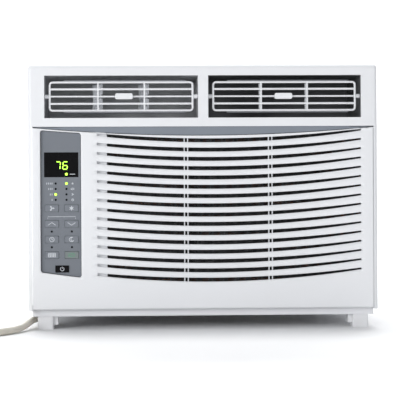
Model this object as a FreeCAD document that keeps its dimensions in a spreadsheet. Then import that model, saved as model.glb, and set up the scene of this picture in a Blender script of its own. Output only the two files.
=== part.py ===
"""Window air conditioner with a tilting intake grille, two louvred vents and a coiled mains lead.

Frame: +Z up, -Y is the front, +X is to the right of a person who faces the front.
The origin is on the floor under the middle of the unit. Lengths are in millimetres.
"""
import FreeCAD, Part

import math
import os
import re

import Sketcher

V = FreeCAD.Vector
doc = FreeCAD.newDocument("window_air_conditioner")
sheet = doc.addObject("Spreadsheet::Sheet", "Sizes")

# alias, value, meaning
SIZES = [
    ("body_wide", 483, "front panel, side to side"),
    ("body_deep", 404, "front panel to the back of the cabinet"),
    ("body_high", 365.4, "floor to the top of the front panel"),
    ("panel_low", 26, "floor to the bottom of the front panel"),
    ("bezel_deep", 52, "depth of the front panel's skirt"),
    ("wall", 2.5, "moulded wall"),
    ("edge_round", 6, "front panel's outer edges"),
    ("gap", 0.8, "line between two covers"),
    ("door_half", 235, "intake grille, half width"),
    ("door_deep", 12, "intake grille, front to back"),
    ("door_low", 28, "intake grille's bottom edge"),
    ("hinge_in", 10, "grille hinge, behind the front"),
    ("hinge_high", 33, "grille hinge, above the floor"),
    ("hinge_pin", 2, "grille hinge pin, radius"),
    ("seam_high", 278.8, "line between the vents and the grille"),
    ("lens_drop", 11.1, "depth of the accent's arc"),
    ("slot_first", 260.3, "middle of the top slot"),
    ("slot_pitch", 12.82, "slot to slot"),
    ("slot_left", 133, "slots' left end"),
    ("slot_right", 218.7, "slots' right end"),
    ("slot_high", 5.2, "slot height at its lowest point"),
    ("slot_low_x", 12, "slots' lowest point, right of the middle"),
    ("slot_rise", 1470, "radius of the slots' arcs"),
    ("slot_taper", 170, "what the two arcs differ from it"),
    ("slot_rows", 16, "slots"),
    ("slat_deep", 8, "slats, front to back"),
    ("rib_left", 24, "left grille rib, from the middle"),
    ("rib_right", 92.6, "right grille rib, from the middle"),
    ("rib_thick", 1.2, "each wall of a double rib"),
    ("rib_space", 3.5, "between the two walls of a rib"),
    ("deck_left", 224.4, "control cut-out, left edge"),
    ("deck_right", 168.6, "control cut-out, right edge"),
    ("deck_sunk", 5, "control panel, behind the front"),
    ("deck_thick", 3, "control panel"),
    ("deck_gap", 0.7, "control panel to its cut-out"),
    ("key_wide", 18.4, "button"),
    ("key_high", 9.2, "button"),
    ("key_deep", 6.7, "button, front to back"),
    ("key_proud", 1.2, "button, in front of the control panel"),
    ("key_gap", 0.3, "button to its hole"),
    ("window_left", 219.4, "display's left edge, left of the middle"),
    ("window_right", 172.3, "display's right edge, left of the middle"),
    ("window_low", 184.3, "display's bottom edge, above the front panel's"),
    ("window_high", 218.6, "display's top edge, above the front panel's"),
    ("lamp_round", 1.5, "indicator lamp, radius"),
    ("vent_in", 7, "vent's inner edge from the middle"),
    ("vent_out", 218.5, "vent's outer edge from the middle"),
    ("vent_low", 291.5, "vent's bottom edge"),
    ("vent_high", 350, "vent's top edge"),
    ("louver_mid", 112.75, "louvre's middle from the middle"),
    ("louver_high", 321.5, "louvre's axis above the floor"),
    ("louver_in", 11, "louvre's axis behind the front"),
    ("louver_wide", 200, "louvre frame"),
    ("rail_in", 19, "louvre rail's inner face, above or below the axis"),
    ("rail_thick", 3.4, "louvre rail"),
    ("bar_round", 1.5, "louvre bar, radius"),
    ("bar_in", 2.5, "louvre bars in front of their axis"),
    ("vane_back", 13, "vane axis behind the louvre's axis"),
    ("vane_front", 11, "vane, in front of its axis"),
    ("vane_rear", 17, "vane, behind its axis"),
    ("vane_tall", 35.6, "vane height"),
    ("vane_lever", 7, "vane peg in front of the vane's axis"),
    ("vane_apart", 32, "vane axis from the louvre's middle"),
    ("cabinet_half", 237.5, "sheet steel cabinet, half width"),
    ("cabinet_top", 359, "sheet steel cabinet, top"),
    ("cabinet_low", 30, "sheet steel cabinet, bottom edge"),
    ("cabinet_front", 165, "cabinet's front edge, before the middle"),
    ("sheet_thick", 1, "cabinet steel"),
    ("pan_half", 233.5, "base pan, half width"),
    ("pan_skirt", 237, "base pan's ledge, half width"),
    ("pan_low", 18, "underside of the base pan"),
    ("pan_thick", 1.2, "base pan steel"),
    ("pan_high", 50, "base pan's rim"),
    ("pan_front", 188, "base pan's front wall, before the middle"),
    ("foot_wide", 22, "foot"),
    ("foot_deep", 34, "foot"),
    ("foot_x", 219, "foot's middle from the middle"),
    ("axle_x", 40, "fan axis from the middle"),
    ("axle_z", 160, "fan axis above the floor"),
    ("axle_round", 5, "fan shaft, radius"),
    ("wheel_round", 86, "blower wheel, radius"),
    ("wheel_deep", 56, "blower wheel, front to back"),
    ("scroll_round", 104, "blower housing, radius"),
    ("fan_round", 98, "condenser fan, radius"),
    ("motor_round", 52, "fan motor, radius"),
    ("evap_thick", 26, "evaporator, front to back"),
    ("cond_thick", 44, "condenser, front to back"),
    ("cond_half", 212, "condenser, half width"),
    ("shell_round", 48, "compressor, radius"),
    ("shell_x", 160, "compressor's middle, left of the middle"),
    ("shell_y", 45, "compressor's middle, behind the middle"),
    ("hole_round", 2, "hole for a mounting screw, radius"),
    ("rail_holes", 320, "top rail's screw holes, apart"),
    ("side_holes", 240, "side rail's screw holes, apart"),
    ("side_hole_y", 120, "side rail's holes, before the middle"),
    ("cord_round", 4.75, "mains lead, radius"),
    ("coil_x", 350, "coil's middle, left of the middle"),
    ("coil_y", 282, "coil's middle, before the middle"),
    ("coil_mean", 55, "middle of the coil's turns, radius"),
    ("plug_long", 60, "plug body"),
    ("plug_wide", 46, "plug body"),
    ("plug_tall", 26, "plug body"),
]

for row, (alias, number, meaning) in enumerate(SIZES, start=1):
    sheet.set(f"A{row}", alias)
    sheet.set(f"B{row}", str(number))
    sheet.setAlias(f"B{row}", alias)
    sheet.set(f"C{row}", meaning)
doc.recompute()

ALIASES = {alias for alias, number, meaning in SIZES}
NODES = {}

# The mains lead's free stretch, from its strain relief to its coil.
CORD_ROUTE = [
    (-227.0, -122.0, 11.8),
    (-237.5, -152.0, 11.6),
    (-241.7, -187.0, 9.6),
    (-251.0, -237.0, 4.9),
    (-272.0, -280.0, 4.9),
    (-300.5, -323.5, 4.9),
]
FLOOR_LIFT = 0.15


def linked(words):
    """The expression with each alias pointed at the sheet."""
    return re.sub(r"[a-z]+(?:_[a-z]+)*", lambda m: "Sizes." + m[0] if m[0] in ALIASES else m[0], str(words))


def value(words):
    """The expression's number."""
    return float(sheet.evalExpression(linked(words)))


def bind(obj, prop, words):
    obj.setExpression(prop, linked(words))


def node(label, obj):
    """Names a finished sub-part."""
    obj.Label = label
    NODES[label] = obj
    return obj


# ---- primitives and booleans ---------------------------------------------------------------------

def block(low, high):
    """A box between two corners, each a triple of expressions."""
    box = doc.addObject("Part::Box", "Block")
    for side, start, end in zip(("Length", "Width", "Height"), low, high):
        bind(box, side, f"({end}) - ({start})")
    for letter, start in zip("xyz", low):
        bind(box, f"Placement.Base.{letter}", start)
    return box


TURNS = {
    "x": FreeCAD.Rotation(V(0, 1, 0), 90),
    "y": FreeCAD.Rotation(V(1, 0, 0), -90),
    "z": FreeCAD.Rotation(),
}


def rod(base, axis, radius, length):
    """A cylinder from base along +axis."""
    cylinder = doc.addObject("Part::Cylinder", "Rod")
    cylinder.Placement.Rotation = TURNS[axis]
    bind(cylinder, "Radius", radius)
    bind(cylinder, "Height", length)
    for letter, place in zip("xyz", base):
        bind(cylinder, f"Placement.Base.{letter}", place)
    return cylinder


def cone(base, axis, radius_low, radius_high, length):
    taper = doc.addObject("Part::Cone", "Taper")
    taper.Placement.Rotation = TURNS[axis]
    bind(taper, "Radius1", radius_low)
    bind(taper, "Radius2", radius_high)
    bind(taper, "Height", length)
    for letter, place in zip("xyz", base):
        bind(taper, f"Placement.Base.{letter}", place)
    return taper


def ring(base, axis, radius, tube_radius):
    torus = doc.addObject("Part::Torus", "Ring")
    torus.Placement.Rotation = TURNS[axis]
    bind(torus, "Radius1", radius)
    bind(torus, "Radius2", tube_radius)
    for letter, place in zip("xyz", base):
        bind(torus, f"Placement.Base.{letter}", place)
    return torus


def fuse(*pieces):
    joined = doc.addObject("Part::MultiFuse", "Joined")
    joined.Shapes = list(pieces)
    return joined


def cut(base, *tools):
    opened = doc.addObject("Part::Cut", "Opened")
    opened.Base = base
    opened.Tool = tools[0] if len(tools) == 1 else fuse(*tools)
    return opened


def group(*pieces):
    """Several separate solids in one node."""
    together = doc.addObject("Part::Compound", "Group")
    together.Links = list(pieces)
    return together


def rounded(base, radius, wanted):
    """Rounds the edges whose middle passes the test."""
    doc.recompute()
    soft = doc.addObject("Part::Fillet", "Rounded")
    soft.Base = base
    size = value(radius)
    picked = []
    for index, edge in enumerate(base.Shape.Edges, start=1):
        middle = edge.valueAt((edge.FirstParameter + edge.LastParameter) / 2)
        if wanted(middle, edge):
            picked.append((index, size, size))
    soft.Edges = picked
    return soft


def solid(shape):
    """A sub-part made by code, where no feature fits."""
    made = doc.addObject("Part::Feature", "Made")
    made.Shape = shape
    return made


# ---- sketches and bodies -------------------------------------------------------------------------

def origin_item(body, role):
    return next(item for item in body.Origin.OriginFeatures if item.Role == role)


def sketch(body, plane, offset):
    """An empty sketch on one of the body's own planes, moved along that plane's normal."""
    drawing = body.newObject("Sketcher::SketchObject", "Sketch")
    drawing.AttachmentSupport = [(origin_item(body, plane), "")]
    drawing.MapMode = "FlatFace"
    bind(drawing, "AttachmentOffset.Base.z", offset)
    return drawing


def fix_point(drawing, geometry, end, place):
    for kind, words in zip(("DistanceX", "DistanceY"), place):
        index = drawing.addConstraint(Sketcher.Constraint(kind, -1, 1, geometry, end, value(words)))
        bind(drawing, f"Constraints[{index}]", words)


def outline(drawing, points, arcs=None):
    """A closed outline. arcs: side number to a point that the side bends through."""
    arcs = arcs or {}
    first = drawing.GeometryCount
    total = len(points)
    spots = [V(value(u), value(v), 0) for u, v in points]
    for side in range(total):
        start = spots[side]
        end = spots[(side + 1) % total]
        if side in arcs:
            middle = V(value(arcs[side][0]), value(arcs[side][1]), 0)
            if (middle - start).cross(end - middle).z < 0:
                start, end = end, start
            drawing.addGeometry(Part.Arc(start, middle, end), False)
        else:
            drawing.addGeometry(Part.LineSegment(start, end), False)
    for side in range(total):
        geometry = first + side
        follower = first + (side + 1) % total
        joint = spots[(side + 1) % total]
        end = 2 if (drawing.Geometry[geometry].EndPoint - joint).Length < 1e-6 else 1
        start = 1 if (drawing.Geometry[follower].StartPoint - joint).Length < 1e-6 else 2
        drawing.addConstraint(Sketcher.Constraint("Coincident", geometry, end, follower, start))
        fix_point(drawing, follower, start, points[(side + 1) % total])
    for side, middle in arcs.items():
        spot = drawing.addGeometry(Part.Point(V(value(middle[0]), value(middle[1]), 0)), True)
        drawing.addConstraint(Sketcher.Constraint("PointOnObject", spot, 1, first + side))
        fix_point(drawing, spot, 1, middle)


def rectangle(drawing, low, high):
    outline(drawing, [low, (high[0], low[1]), high, (low[0], high[1])])


def circle(drawing, middle, radius):
    index = drawing.GeometryCount
    drawing.addGeometry(Part.Circle(V(value(middle[0]), value(middle[1]), 0), V(0, 0, 1), value(radius)), False)
    fix_point(drawing, index, 3, middle)
    size = drawing.addConstraint(Sketcher.Constraint("Radius", index, value(radius)))
    bind(drawing, f"Constraints[{size}]", radius)


def pad(body, drawing, length, reverse=False):
    feature = body.newObject("PartDesign::Pad", "Pad")
    feature.Profile = drawing
    feature.Reversed = reverse
    bind(feature, "Length", length)
    return feature


def pocket(body, drawing, length, reverse=False):
    doc.recompute()
    before = body.Shape.Volume
    feature = body.newObject("PartDesign::Pocket", "Pocket")
    feature.Profile = drawing
    feature.Reversed = reverse
    bind(feature, "Length", length)
    doc.recompute()
    if body.Shape.Volume >= before - 1e-6:
        raise ValueError("a pocket removed nothing")
    return feature


def new_body(name):
    return doc.addObject("PartDesign::Body", name)


# ---- tubes ---------------------------------------------------------------------------------------

def arc_path(points, share=0.45, largest=None):
    """Straight runs joined by tangent arcs. Gives the wire and the arcs' radii."""
    spots = [V(*point) for point in points]
    edges = []
    radii = []
    start = spots[0]
    for before, corner, after in zip(spots, spots[1:], spots[2:]):
        incoming = (corner - before)
        outgoing = (after - corner)
        half_turn = incoming.getAngle(outgoing) / 2
        reach = share * min(incoming.Length, outgoing.Length)
        if largest:
            reach = min(reach, largest * math.tan(half_turn))
        radius = reach / math.tan(half_turn)
        first = corner - V(incoming).normalize() * reach
        last = corner + V(outgoing).normalize() * reach
        inward = (V(outgoing).normalize() - V(incoming).normalize()).normalize()
        middle = corner + inward * (radius / math.cos(half_turn) - radius)
        edges.append(Part.LineSegment(start, first).toShape())
        edges.append(Part.Arc(first, middle, last).toShape())
        radii.append(radius)
        start = last
    edges.append(Part.LineSegment(start, spots[-1]).toShape())
    return Part.Wire(edges), radii


def tube(points, radius, largest=None):
    """A round tube along the path, with its length and its arcs' radii."""
    wire, radii = arc_path(points, largest=largest)
    start = wire.Edges[0].valueAt(wire.Edges[0].FirstParameter)
    heading = wire.Edges[0].tangentAt(wire.Edges[0].FirstParameter)
    section = Part.Wire([Part.Circle(start, heading, radius).toShape()])
    shape = wire.makePipeShell([section], True, False)
    expected = math.pi * radius ** 2 * wire.Length
    if abs(shape.Volume - expected) > 0.01 * expected:
        raise ValueError(f"tube volume {shape.Volume} is not {expected}")
    return shape, wire.Length, radii


# ---- front covers --------------------------------------------------------------------------------

def front_panel():
    """Moulded front: a skirt with rounded edges, two vents and the wide opening for the grille."""
    body = new_body("Bezel")
    face = sketch(body, "XZ_Plane", "body_deep / 2 - bezel_deep")
    rectangle(face, ("-body_wide / 2", "panel_low"), ("body_wide / 2", "body_high"))
    pad(body, face, "bezel_deep")
    doc.recompute()
    edges = []
    half = value("body_wide / 2")
    top = value("body_high")
    front = -value("body_deep / 2")
    for index, edge in enumerate(body.Shape.Edges, start=1):
        spot = edge.CenterOfMass
        on_front = abs(spot.y - front) < 1
        on_side = abs(abs(spot.x) - half) < 1
        on_top = abs(spot.z - top) < 1
        if (on_front and on_side) or (on_front and on_top) or (on_side and on_top):
            edges.append(f"Edge{index}")
    padded = body.Tip
    soft = body.newObject("PartDesign::Fillet", "Soft")
    soft.Base = (padded, edges)
    bind(soft, "Radius", "edge_round")
    doc.recompute()
    cavity = sketch(body, "XZ_Plane", "body_deep / 2 - bezel_deep")
    low = ("wall - body_wide / 2", "panel_low + wall")
    rectangle(cavity, low, ("body_wide / 2 - wall", "body_high - wall"))
    pocket(body, cavity, "bezel_deep - wall", reverse=True)
    vents = sketch(body, "XZ_Plane", "body_deep / 2")
    rectangle(vents, ("-vent_out", "vent_low"), ("-vent_in", "vent_high"))
    rectangle(vents, ("vent_in", "vent_low"), ("vent_out", "vent_high"))
    pocket(body, vents, "wall + 1")
    opening = sketch(body, "XZ_Plane", "body_deep / 2")
    rectangle(opening, ("-door_half - gap", "panel_low - 1"), ("door_half + gap", "seam_high + gap"))
    pocket(body, opening, "door_deep + 5")
    holes = []
    for start in ("door_half + gap", "-body_wide / 2 + 0.9"):
        place = (start, "hinge_in - body_deep / 2", "hinge_high")
        holes.append(rod(place, "x", "hinge_pin + 0.08", "body_wide / 2 - 0.9 - door_half - gap"))
    under = block(
        ("-pan_skirt - 1", "-pan_front - 0.5", "panel_low - 1"),
        ("pan_skirt + 1", "-140", "panel_low + 4.2"),
    )
    node("front_panel", cut(body, under, *holes))


def accent_trim():
    """Grey lens-shaped strip between the vents and the grille, with a flange behind the front panel."""
    body = new_body("Accent")
    lens = sketch(body, "XZ_Plane", "body_deep / 2 - 5")
    end = "door_half - 2"
    outline(
        lens,
        [(f"-({end})", "seam_high"), (f"-({end})", "seam_high - 0.4"), (end, "seam_high - 0.4"), (end, "seam_high")],
        {1: ("0", "seam_high - lens_drop")},
    )
    pad(body, lens, "3")
    flange = sketch(body, "XZ_Plane", "body_deep / 2 - 5")
    rectangle(flange, ("-200", "seam_high - 2"), ("200", "seam_high + 9"))
    pad(body, flange, "5 - wall")
    node("accent_trim", body)


def deck_outline(inset):
    """The control cut-out's slanted outline, moved in by inset."""
    left = f"-deck_left + {inset}"
    right = f"-deck_right - {inset}"
    return [
        (left, f"panel_low + 53.5 + {inset}"),
        (right, f"panel_low + 46 + {inset}"),
        (right, f"panel_low + 245 - {inset}"),
        (left, f"panel_low + 249 - {inset}"),
    ]


def intake_grille():
    """Tilting grille: 16 arched slots, a cut-out for the controls, hinge pins at its bottom corners."""
    body = new_body("Grille")
    back = "body_deep / 2 - door_deep"
    edge_high = "seam_high - gap"
    face = sketch(body, "XZ_Plane", back)
    outline(
        face,
        [
            ("-door_half", "door_low"),
            ("door_half", "door_low"),
            ("door_half", edge_high),
            ("-door_half", edge_high),
        ],
        {2: ("0", "seam_high - gap - lens_drop")},
    )
    pad(body, face, "door_deep")
    hollow = sketch(body, "XZ_Plane", back)
    rectangle(hollow, ("slot_right + 4", "door_low + 14"), ("door_half - wall", "seam_high - 22"))
    rectangle(hollow, ("-deck_right + 4", "door_low + 14"), ("-slot_left - 18", "seam_high - 22"))
    pocket(body, hollow, "door_deep - wall", reverse=True)
    thin = sketch(body, "XZ_Plane", back)
    rectangle(thin, ("-slot_left - 2", "door_low + 22"), ("slot_right + 1", "seam_high - 20"))
    pocket(body, thin, "door_deep - slat_deep", reverse=True)
    deck = sketch(body, "XZ_Plane", "body_deep / 2")
    outline(deck, deck_outline("0"))
    pocket(body, deck, "door_deep + 1")
    slot = sketch(body, "XZ_Plane", "body_deep / 2")
    upper = "slot_rise + slot_taper"
    lower = "slot_rise - slot_taper"
    middle = "slot_first"
    points = []
    for end, side in (("slot_left + slot_low_x", "-slot_left"), ("slot_right - slot_low_x", "slot_right")):
        points.append((side, f"{middle} - slot_high / 2 + ({end}) * ({end}) / (2 * ({lower}))"))
        points.append((side, f"{middle} + slot_high / 2 + ({end}) * ({end}) / (2 * ({upper}))"))
    order = [points[0], points[2], points[3], points[1]]
    bends = {0: ("slot_low_x", f"{middle} - slot_high / 2"), 2: ("slot_low_x", f"{middle} + slot_high / 2")}
    outline(slot, order, bends)
    first = pocket(body, slot, "door_deep + 1")
    rows = body.newObject("PartDesign::LinearPattern", "Rows")
    rows.Originals = [first]
    rows.Direction = (origin_item(body, "Z_Axis"), [""])
    rows.Reversed = True
    bind(rows, "Occurrences", "slot_rows")
    bind(rows, "Length", "slot_pitch * (slot_rows - 1)")
    body.Tip = rows
    doc.recompute()
    ribs = sketch(body, "XZ_Plane", "body_deep / 2 - door_deep")
    for place in ("-rib_left", "rib_right"):
        for side in (-1, 1):
            middle_x = f"{place} + {side} * (rib_space + rib_thick) / 2"
            rectangle(
                ribs,
                (f"{middle_x} - rib_thick / 2", "door_low + 20"),
                (f"{middle_x} + rib_thick / 2", "seam_high - 18"),
            )
    pad(body, ribs, "door_deep - 3")
    pins = []
    for start in ("door_half - 6", "-door_half - 5.3"):
        pins.append(rod((start, "hinge_in - body_deep / 2", "hinge_high"), "x", "hinge_pin", "11.3"))
    softened = rounded(
        body,
        "3.5",
        lambda spot, edge: abs(spot.z - value("door_low")) < 0.5 and edge.Length > 400,
    )
    node("intake_grille", fuse(softened, *pins))


def air_filter():
    """Filter frame with two cross bars, clipped behind the grille, and its mesh."""
    front = "door_deep - body_deep / 2"
    low = ("-slot_left - 14", front, "door_low + 22")
    high = ("slot_right + 8", f"{front} + 4.6", "seam_high - 1.6")
    frame = block(low, high)
    opening = block(
        ("-slot_left - 9", f"{front} - 1", "door_low + 27"),
        ("slot_right + 3.5", f"{front} + 6", "seam_high - 4.6"),
    )
    bars = [
        block((f"{x} - 1.5", f"{front} + 2.6", "door_low + 24"), (f"{x} + 1.5", f"{front} + 4.6", "seam_high - 3"))
        for x in ("-rib_left", "rib_right")
    ]
    tab = block(("40 - 12", f"{front} + 0.6", "door_low + 17"), ("40 + 12", f"{front} + 2.6", "door_low + 22"))
    node("filter_frame", fuse(cut(frame, opening), tab, *bars))
    mesh = block(
        ("-slot_left - 9", f"{front} + 1.6", "door_low + 27"),
        ("slot_right + 3.5", f"{front} + 2.4", "seam_high - 4.6"),
    )
    node("filter_mesh", mesh)


# ---- controls ------------------------------------------------------------------------------------

KEY_LEFT = -209.1
KEY_RIGHT = -182.0
KEY_TOP = 141.6
KEY_PITCH = 21.45
KEYS = {
    "fan_button": (KEY_LEFT, KEY_TOP),
    "mode_button": (KEY_RIGHT, KEY_TOP),
    "up_button": (KEY_LEFT, KEY_TOP - KEY_PITCH),
    "down_button": (KEY_RIGHT, KEY_TOP - KEY_PITCH),
    "timer_button": (KEY_LEFT, KEY_TOP - 2 * KEY_PITCH),
    "sleep_button": (KEY_RIGHT, KEY_TOP - 2 * KEY_PITCH),
    "filter_button": (KEY_LEFT, KEY_TOP - 3 * KEY_PITCH),
    "eco_button": (KEY_RIGHT, KEY_TOP - 3 * KEY_PITCH),
    "power_button": (-195.2, 58.0),
}
LAMP_PLACES = [(x, z) for x in (-203.6, -188.8) for z in (175.7, 168.2, 160.7, 153.2)]
LAMP_PLACES += [(x, z) for x in (-209.3, -181.7) for z in (109.6, 88.0)]


def control_overlay():
    """Grey control panel with a hole for each button, lamp and the display, and a rim behind it."""
    body = new_body("Overlay")
    front = "body_deep / 2 - deck_sunk"
    back = f"{front} - deck_thick"
    face = sketch(body, "XZ_Plane", back)
    outline(face, deck_outline("deck_gap"))
    pad(body, face, "deck_thick")
    rim = sketch(body, "XZ_Plane", "body_deep / 2 - door_deep - 0.6")
    outline(rim, deck_outline("deck_gap"))
    outline(rim, deck_outline("(deck_gap + 1.2)"))
    pad(body, rim, "door_deep + 0.6 - deck_sunk - deck_thick")
    holes = sketch(body, "XZ_Plane", front)
    for x, z in KEYS.values():
        reach_x = "key_wide / 2 + key_gap"
        reach_z = "key_high / 2 + key_gap"
        rectangle(
            holes,
            (f"{x} - ({reach_x})", f"panel_low + {z} - ({reach_z})"),
            (f"{x} + {reach_x}", f"panel_low + {z} + {reach_z}"),
        )
    rectangle(holes, ("-window_left", "panel_low + window_low"), ("-window_right", "panel_low + window_high"))
    for x, z in LAMP_PLACES:
        circle(holes, (x, f"panel_low + {z}"), "lamp_round")
    pocket(body, holes, "deck_thick")
    node("control_overlay", body)


def display_and_lamps():
    """Display window and the small round lamps, flush in the control panel."""
    front = "deck_sunk - body_deep / 2"
    window = block(
        ("-window_left", front, "panel_low + window_low"),
        ("-window_right", f"{front} + deck_thick", "panel_low + window_high"),
    )
    node("display_window", window)
    lamps = [rod((x, f"{front} - 0.4", f"panel_low + {z}"), "y", "lamp_round", "3.4") for x, z in LAMP_PLACES]
    node("indicator_lamps", group(*lamps))


def buttons():
    """Nine push buttons, each with a flange behind the control panel."""
    front = "deck_sunk - body_deep / 2 - key_proud"
    for name, (x, z) in KEYS.items():
        low = (f"{x} - key_wide / 2", front, f"panel_low + {z} - key_high / 2")
        high = (f"{x} + key_wide / 2", f"{front} + key_deep", f"panel_low + {z} + key_high / 2")
        cap = rounded(
            block(low, high),
            "1.2",
            lambda spot, edge: edge.Length > value("key_deep") - 0.5 and abs(edge.tangentAt(0).y) > 0.9,
        )
        node(name, cap)


def control_box():
    """Box behind the controls, and the circuit board in it."""
    front = "door_deep - body_deep / 2 + 0.6"
    outer = block(("-231", front, "panel_low + 36"), ("-158", "-140", "panel_low + 252"))
    inner = block(("-229", f"{front} - 1", "panel_low + 38"), ("-160", "-142", "panel_low + 250"))
    node("control_box", cut(outer, inner))
    board = block(("-221", "2.6 - body_deep / 2 + door_deep", "panel_low + 50"),
                  ("-171", "4.2 - body_deep / 2 + door_deep", "panel_low + 236"))
    posts = [
        rod((x, "4.2 - body_deep / 2 + door_deep", f"panel_low + {z}"), "y", "3",
            "body_deep / 2 - 142 - door_deep - 4.2")
        for x in (-215, -177)
        for z in (58, 228)
    ]
    node("control_board", fuse(board, *posts))
    can = rod(("-196", "-184", "panel_low + 110"), "y", "19", "40")
    node("run_capacitor", can)


# ---- vents ---------------------------------------------------------------------------------------

VENTS = {"left": -1, "right": 1}
TAB_SHIFT = {"left": 3.6, "right": -1.3}
BAR_HEIGHTS = (19.5, 10, 0, -10, -19.5)


def louver_axis_y(extra):
    return f"louver_in - body_deep / 2 + {extra}"


def louver_frame(side):
    """Five level bars and four upright bars, two rails for the vanes and a pivot at each end."""
    middle = f"{VENTS[side]} * louver_mid"
    bar_y = louver_axis_y("(-bar_in)")
    left = f"{middle} - louver_wide / 2"
    pieces = []
    for high in BAR_HEIGHTS:
        thick = "bar_round" if high else "bar_round * 0.8"
        pieces.append(rod((f"{left} + bar_round", bar_y, f"louver_high + {high}"), "x", thick,
                          "louver_wide - 2 * bar_round"))
    for place in ("-(louver_wide / 2 - bar_round)", "-vane_apart", "vane_apart", "louver_wide / 2 - bar_round"):
        pieces.append(rod((f"{middle} + {place}", bar_y, "louver_high - 19.3"), "z", "bar_round * 0.87", "38.6"))
    for low in ("rail_in", "(-rail_in - rail_thick)"):
        pieces.append(block(
            (f"{middle} - 91", bar_y, f"louver_high + {low}"),
            (f"{middle} + 79", louver_axis_y("vane_back + 3"), f"louver_high + {low} + rail_thick"),
        ))
    for end in ("-1", "1"):
        inner = f"{middle} + {end} * (louver_wide / 2 - bar_round)"
        arm = block(
            (f"{inner} - 1.2", bar_y, "louver_high - 3"),
            (f"{inner} + 1.2", louver_axis_y("3"), "louver_high + 3"),
        )
        pieces.append(arm)
    for start in (f"{left} - 5.2", f"{left} + louver_wide - bar_round"):
        pieces.append(rod((start, louver_axis_y("0"), "louver_high"), "x", "3", "5.2 + bar_round"))
    for start in (f"{left} - 6.8", f"{left} + louver_wide + 5"):
        pieces.append(rod((start, louver_axis_y("0"), "louver_high"), "x", "1.5", "1.8"))
    holes = [
        rod((f"{middle} + {place}", louver_axis_y("vane_back"), "louver_high - 21"), "z", "1.07", "42")
        for place in ("-vane_apart", "vane_apart")
    ]
    node(f"louver_{side}", cut(fuse(*pieces), *holes))


def vane_angle(side):
    """The vanes' turn at rest, in degrees, set by where the tab stands."""
    return math.degrees(TAB_SHIFT[side] / value("vane_lever"))


def vane(side, place, name):
    """Upright vane with a waist, pivot pins top and bottom, and a peg for the link at mid height."""
    x = f"{VENTS[side]} * louver_mid + {place} * vane_apart"
    body = new_body("Vane")
    drawing = sketch(body, "YZ_Plane", "-0.9")
    tall = "vane_tall / 2"
    front = "-vane_front"
    rear = "vane_rear"
    outline(
        drawing,
        [
            (front, f"-({tall})"),
            (rear, f"-({tall})"),
            (rear, tall),
            (front, tall),
            (front, "3.2"),
            ("-vane_lever + 3.4", "3.2"),
            ("-vane_lever + 3.4", "-3.2"),
            (front, "-3.2"),
        ],
        {1: (f"{rear} - 3.4", "0")},
    )
    pad(body, drawing, "1.8")
    pivot = rod(("0", "0", f"-({tall}) - 2.4"), "z", "1", "vane_tall + 4.8")
    peg = rod(("0", "-vane_lever", f"-({tall}) + 1"), "z", "1", "vane_tall - 2")
    waist = fuse(body, pivot, peg)
    turned = doc.addObject("Part::Compound", "Turned")
    turned.Links = [waist]
    turned.Placement.Rotation = FreeCAD.Rotation(V(0, 0, 1), vane_angle(side))
    bind(turned, "Placement.Base.x", x)
    bind(turned, "Placement.Base.y", louver_axis_y("vane_back"))
    bind(turned, "Placement.Base.z", "louver_high")
    node(name, turned)


def vane_link(side):
    """Link bar behind the middle bar: it carries a slot for each vane's peg."""
    middle = f"{VENTS[side]} * louver_mid"
    shift = TAB_SHIFT[side]
    peg_y = louver_axis_y("vane_back - vane_lever")
    bar = block(
        (f"{middle} - vane_apart - 6 + {shift}", f"{peg_y} - 2.6", "louver_high - 1"),
        (f"{middle} + vane_apart + 6 + {shift}", f"{peg_y} + 3.1", "louver_high + 1"),
    )
    slots = [
        block(
            (f"{middle} + {place} * vane_apart + {shift} - 1.5", f"{peg_y} - 1.3", "louver_high - 2"),
            (f"{middle} + {place} * vane_apart + {shift} + 1.5", f"{peg_y} + 2.3", "louver_high + 2"),
        )
        for place in (-1, 1)
    ]
    node(f"vane_link_{side}", cut(bar, *slots))


def louver_tab(side):
    """Finger tab that rides on the middle bar and is fixed to the link."""
    middle = f"{VENTS[side]} * louver_mid + {TAB_SHIFT[side]}"
    front = louver_axis_y("(-bar_in - 5.2)")
    link_front = louver_axis_y("vane_back - vane_lever - 2.6")
    low = (f"{middle} - 12", front, "louver_high - 4")
    high = (f"{middle} + 12", louver_axis_y("(-0.2)"), "louver_high + 4")
    grip = rounded(
        block(low, high),
        "2",
        lambda spot, edge: abs(edge.tangentAt(0).y) > 0.9,
    )
    neck = block((f"{middle} - 4", louver_axis_y("(-0.4)"), "louver_high - 1"),
                 (f"{middle} + 4", link_front, "louver_high + 1"))
    bore = rod((f"{middle} - 13", louver_axis_y("(-bar_in)"), "louver_high"), "x", "bar_round * 0.8 + 0.08", "26")
    node(f"louver_tab_{side}", cut(fuse(grip, neck), bore))


def discharge_duct():
    """Duct behind the vents: a channel for each vent, and the opening above the blower."""
    front = "wall - body_deep / 2"
    outer = block(("-vent_out - 2", front, "vent_low - 2"), ("vent_out + 2", "-58", "vent_high + 2"))
    tools = [
        block(("-vent_out", f"{front} - 1", "vent_low"), ("-vent_in", "-60", "vent_high")),
        block(("vent_in", f"{front} - 1", "vent_low"), ("vent_out", "-60", "vent_high")),
        block(("axle_x - 45", "-132", "vent_low - 3"), ("axle_x + 103", "-62", "vent_low + 1")),
        block(("-vent_in - 1", "-132", "vent_low + 1"), ("vent_in + 1", "-62", "vent_high - 1")),
    ]
    for middle in ("louver_mid", "-louver_mid"):
        for start in (f"{middle} - louver_wide / 2 - 6.9", f"{middle} + louver_wide / 2 + 4.9"):
            tools.append(rod((start, louver_axis_y("0"), "louver_high"), "x", "1.57", "2"))
    node("discharge_duct", cut(outer, *tools))


# ---- air movers ----------------------------------------------------------------------------------

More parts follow.
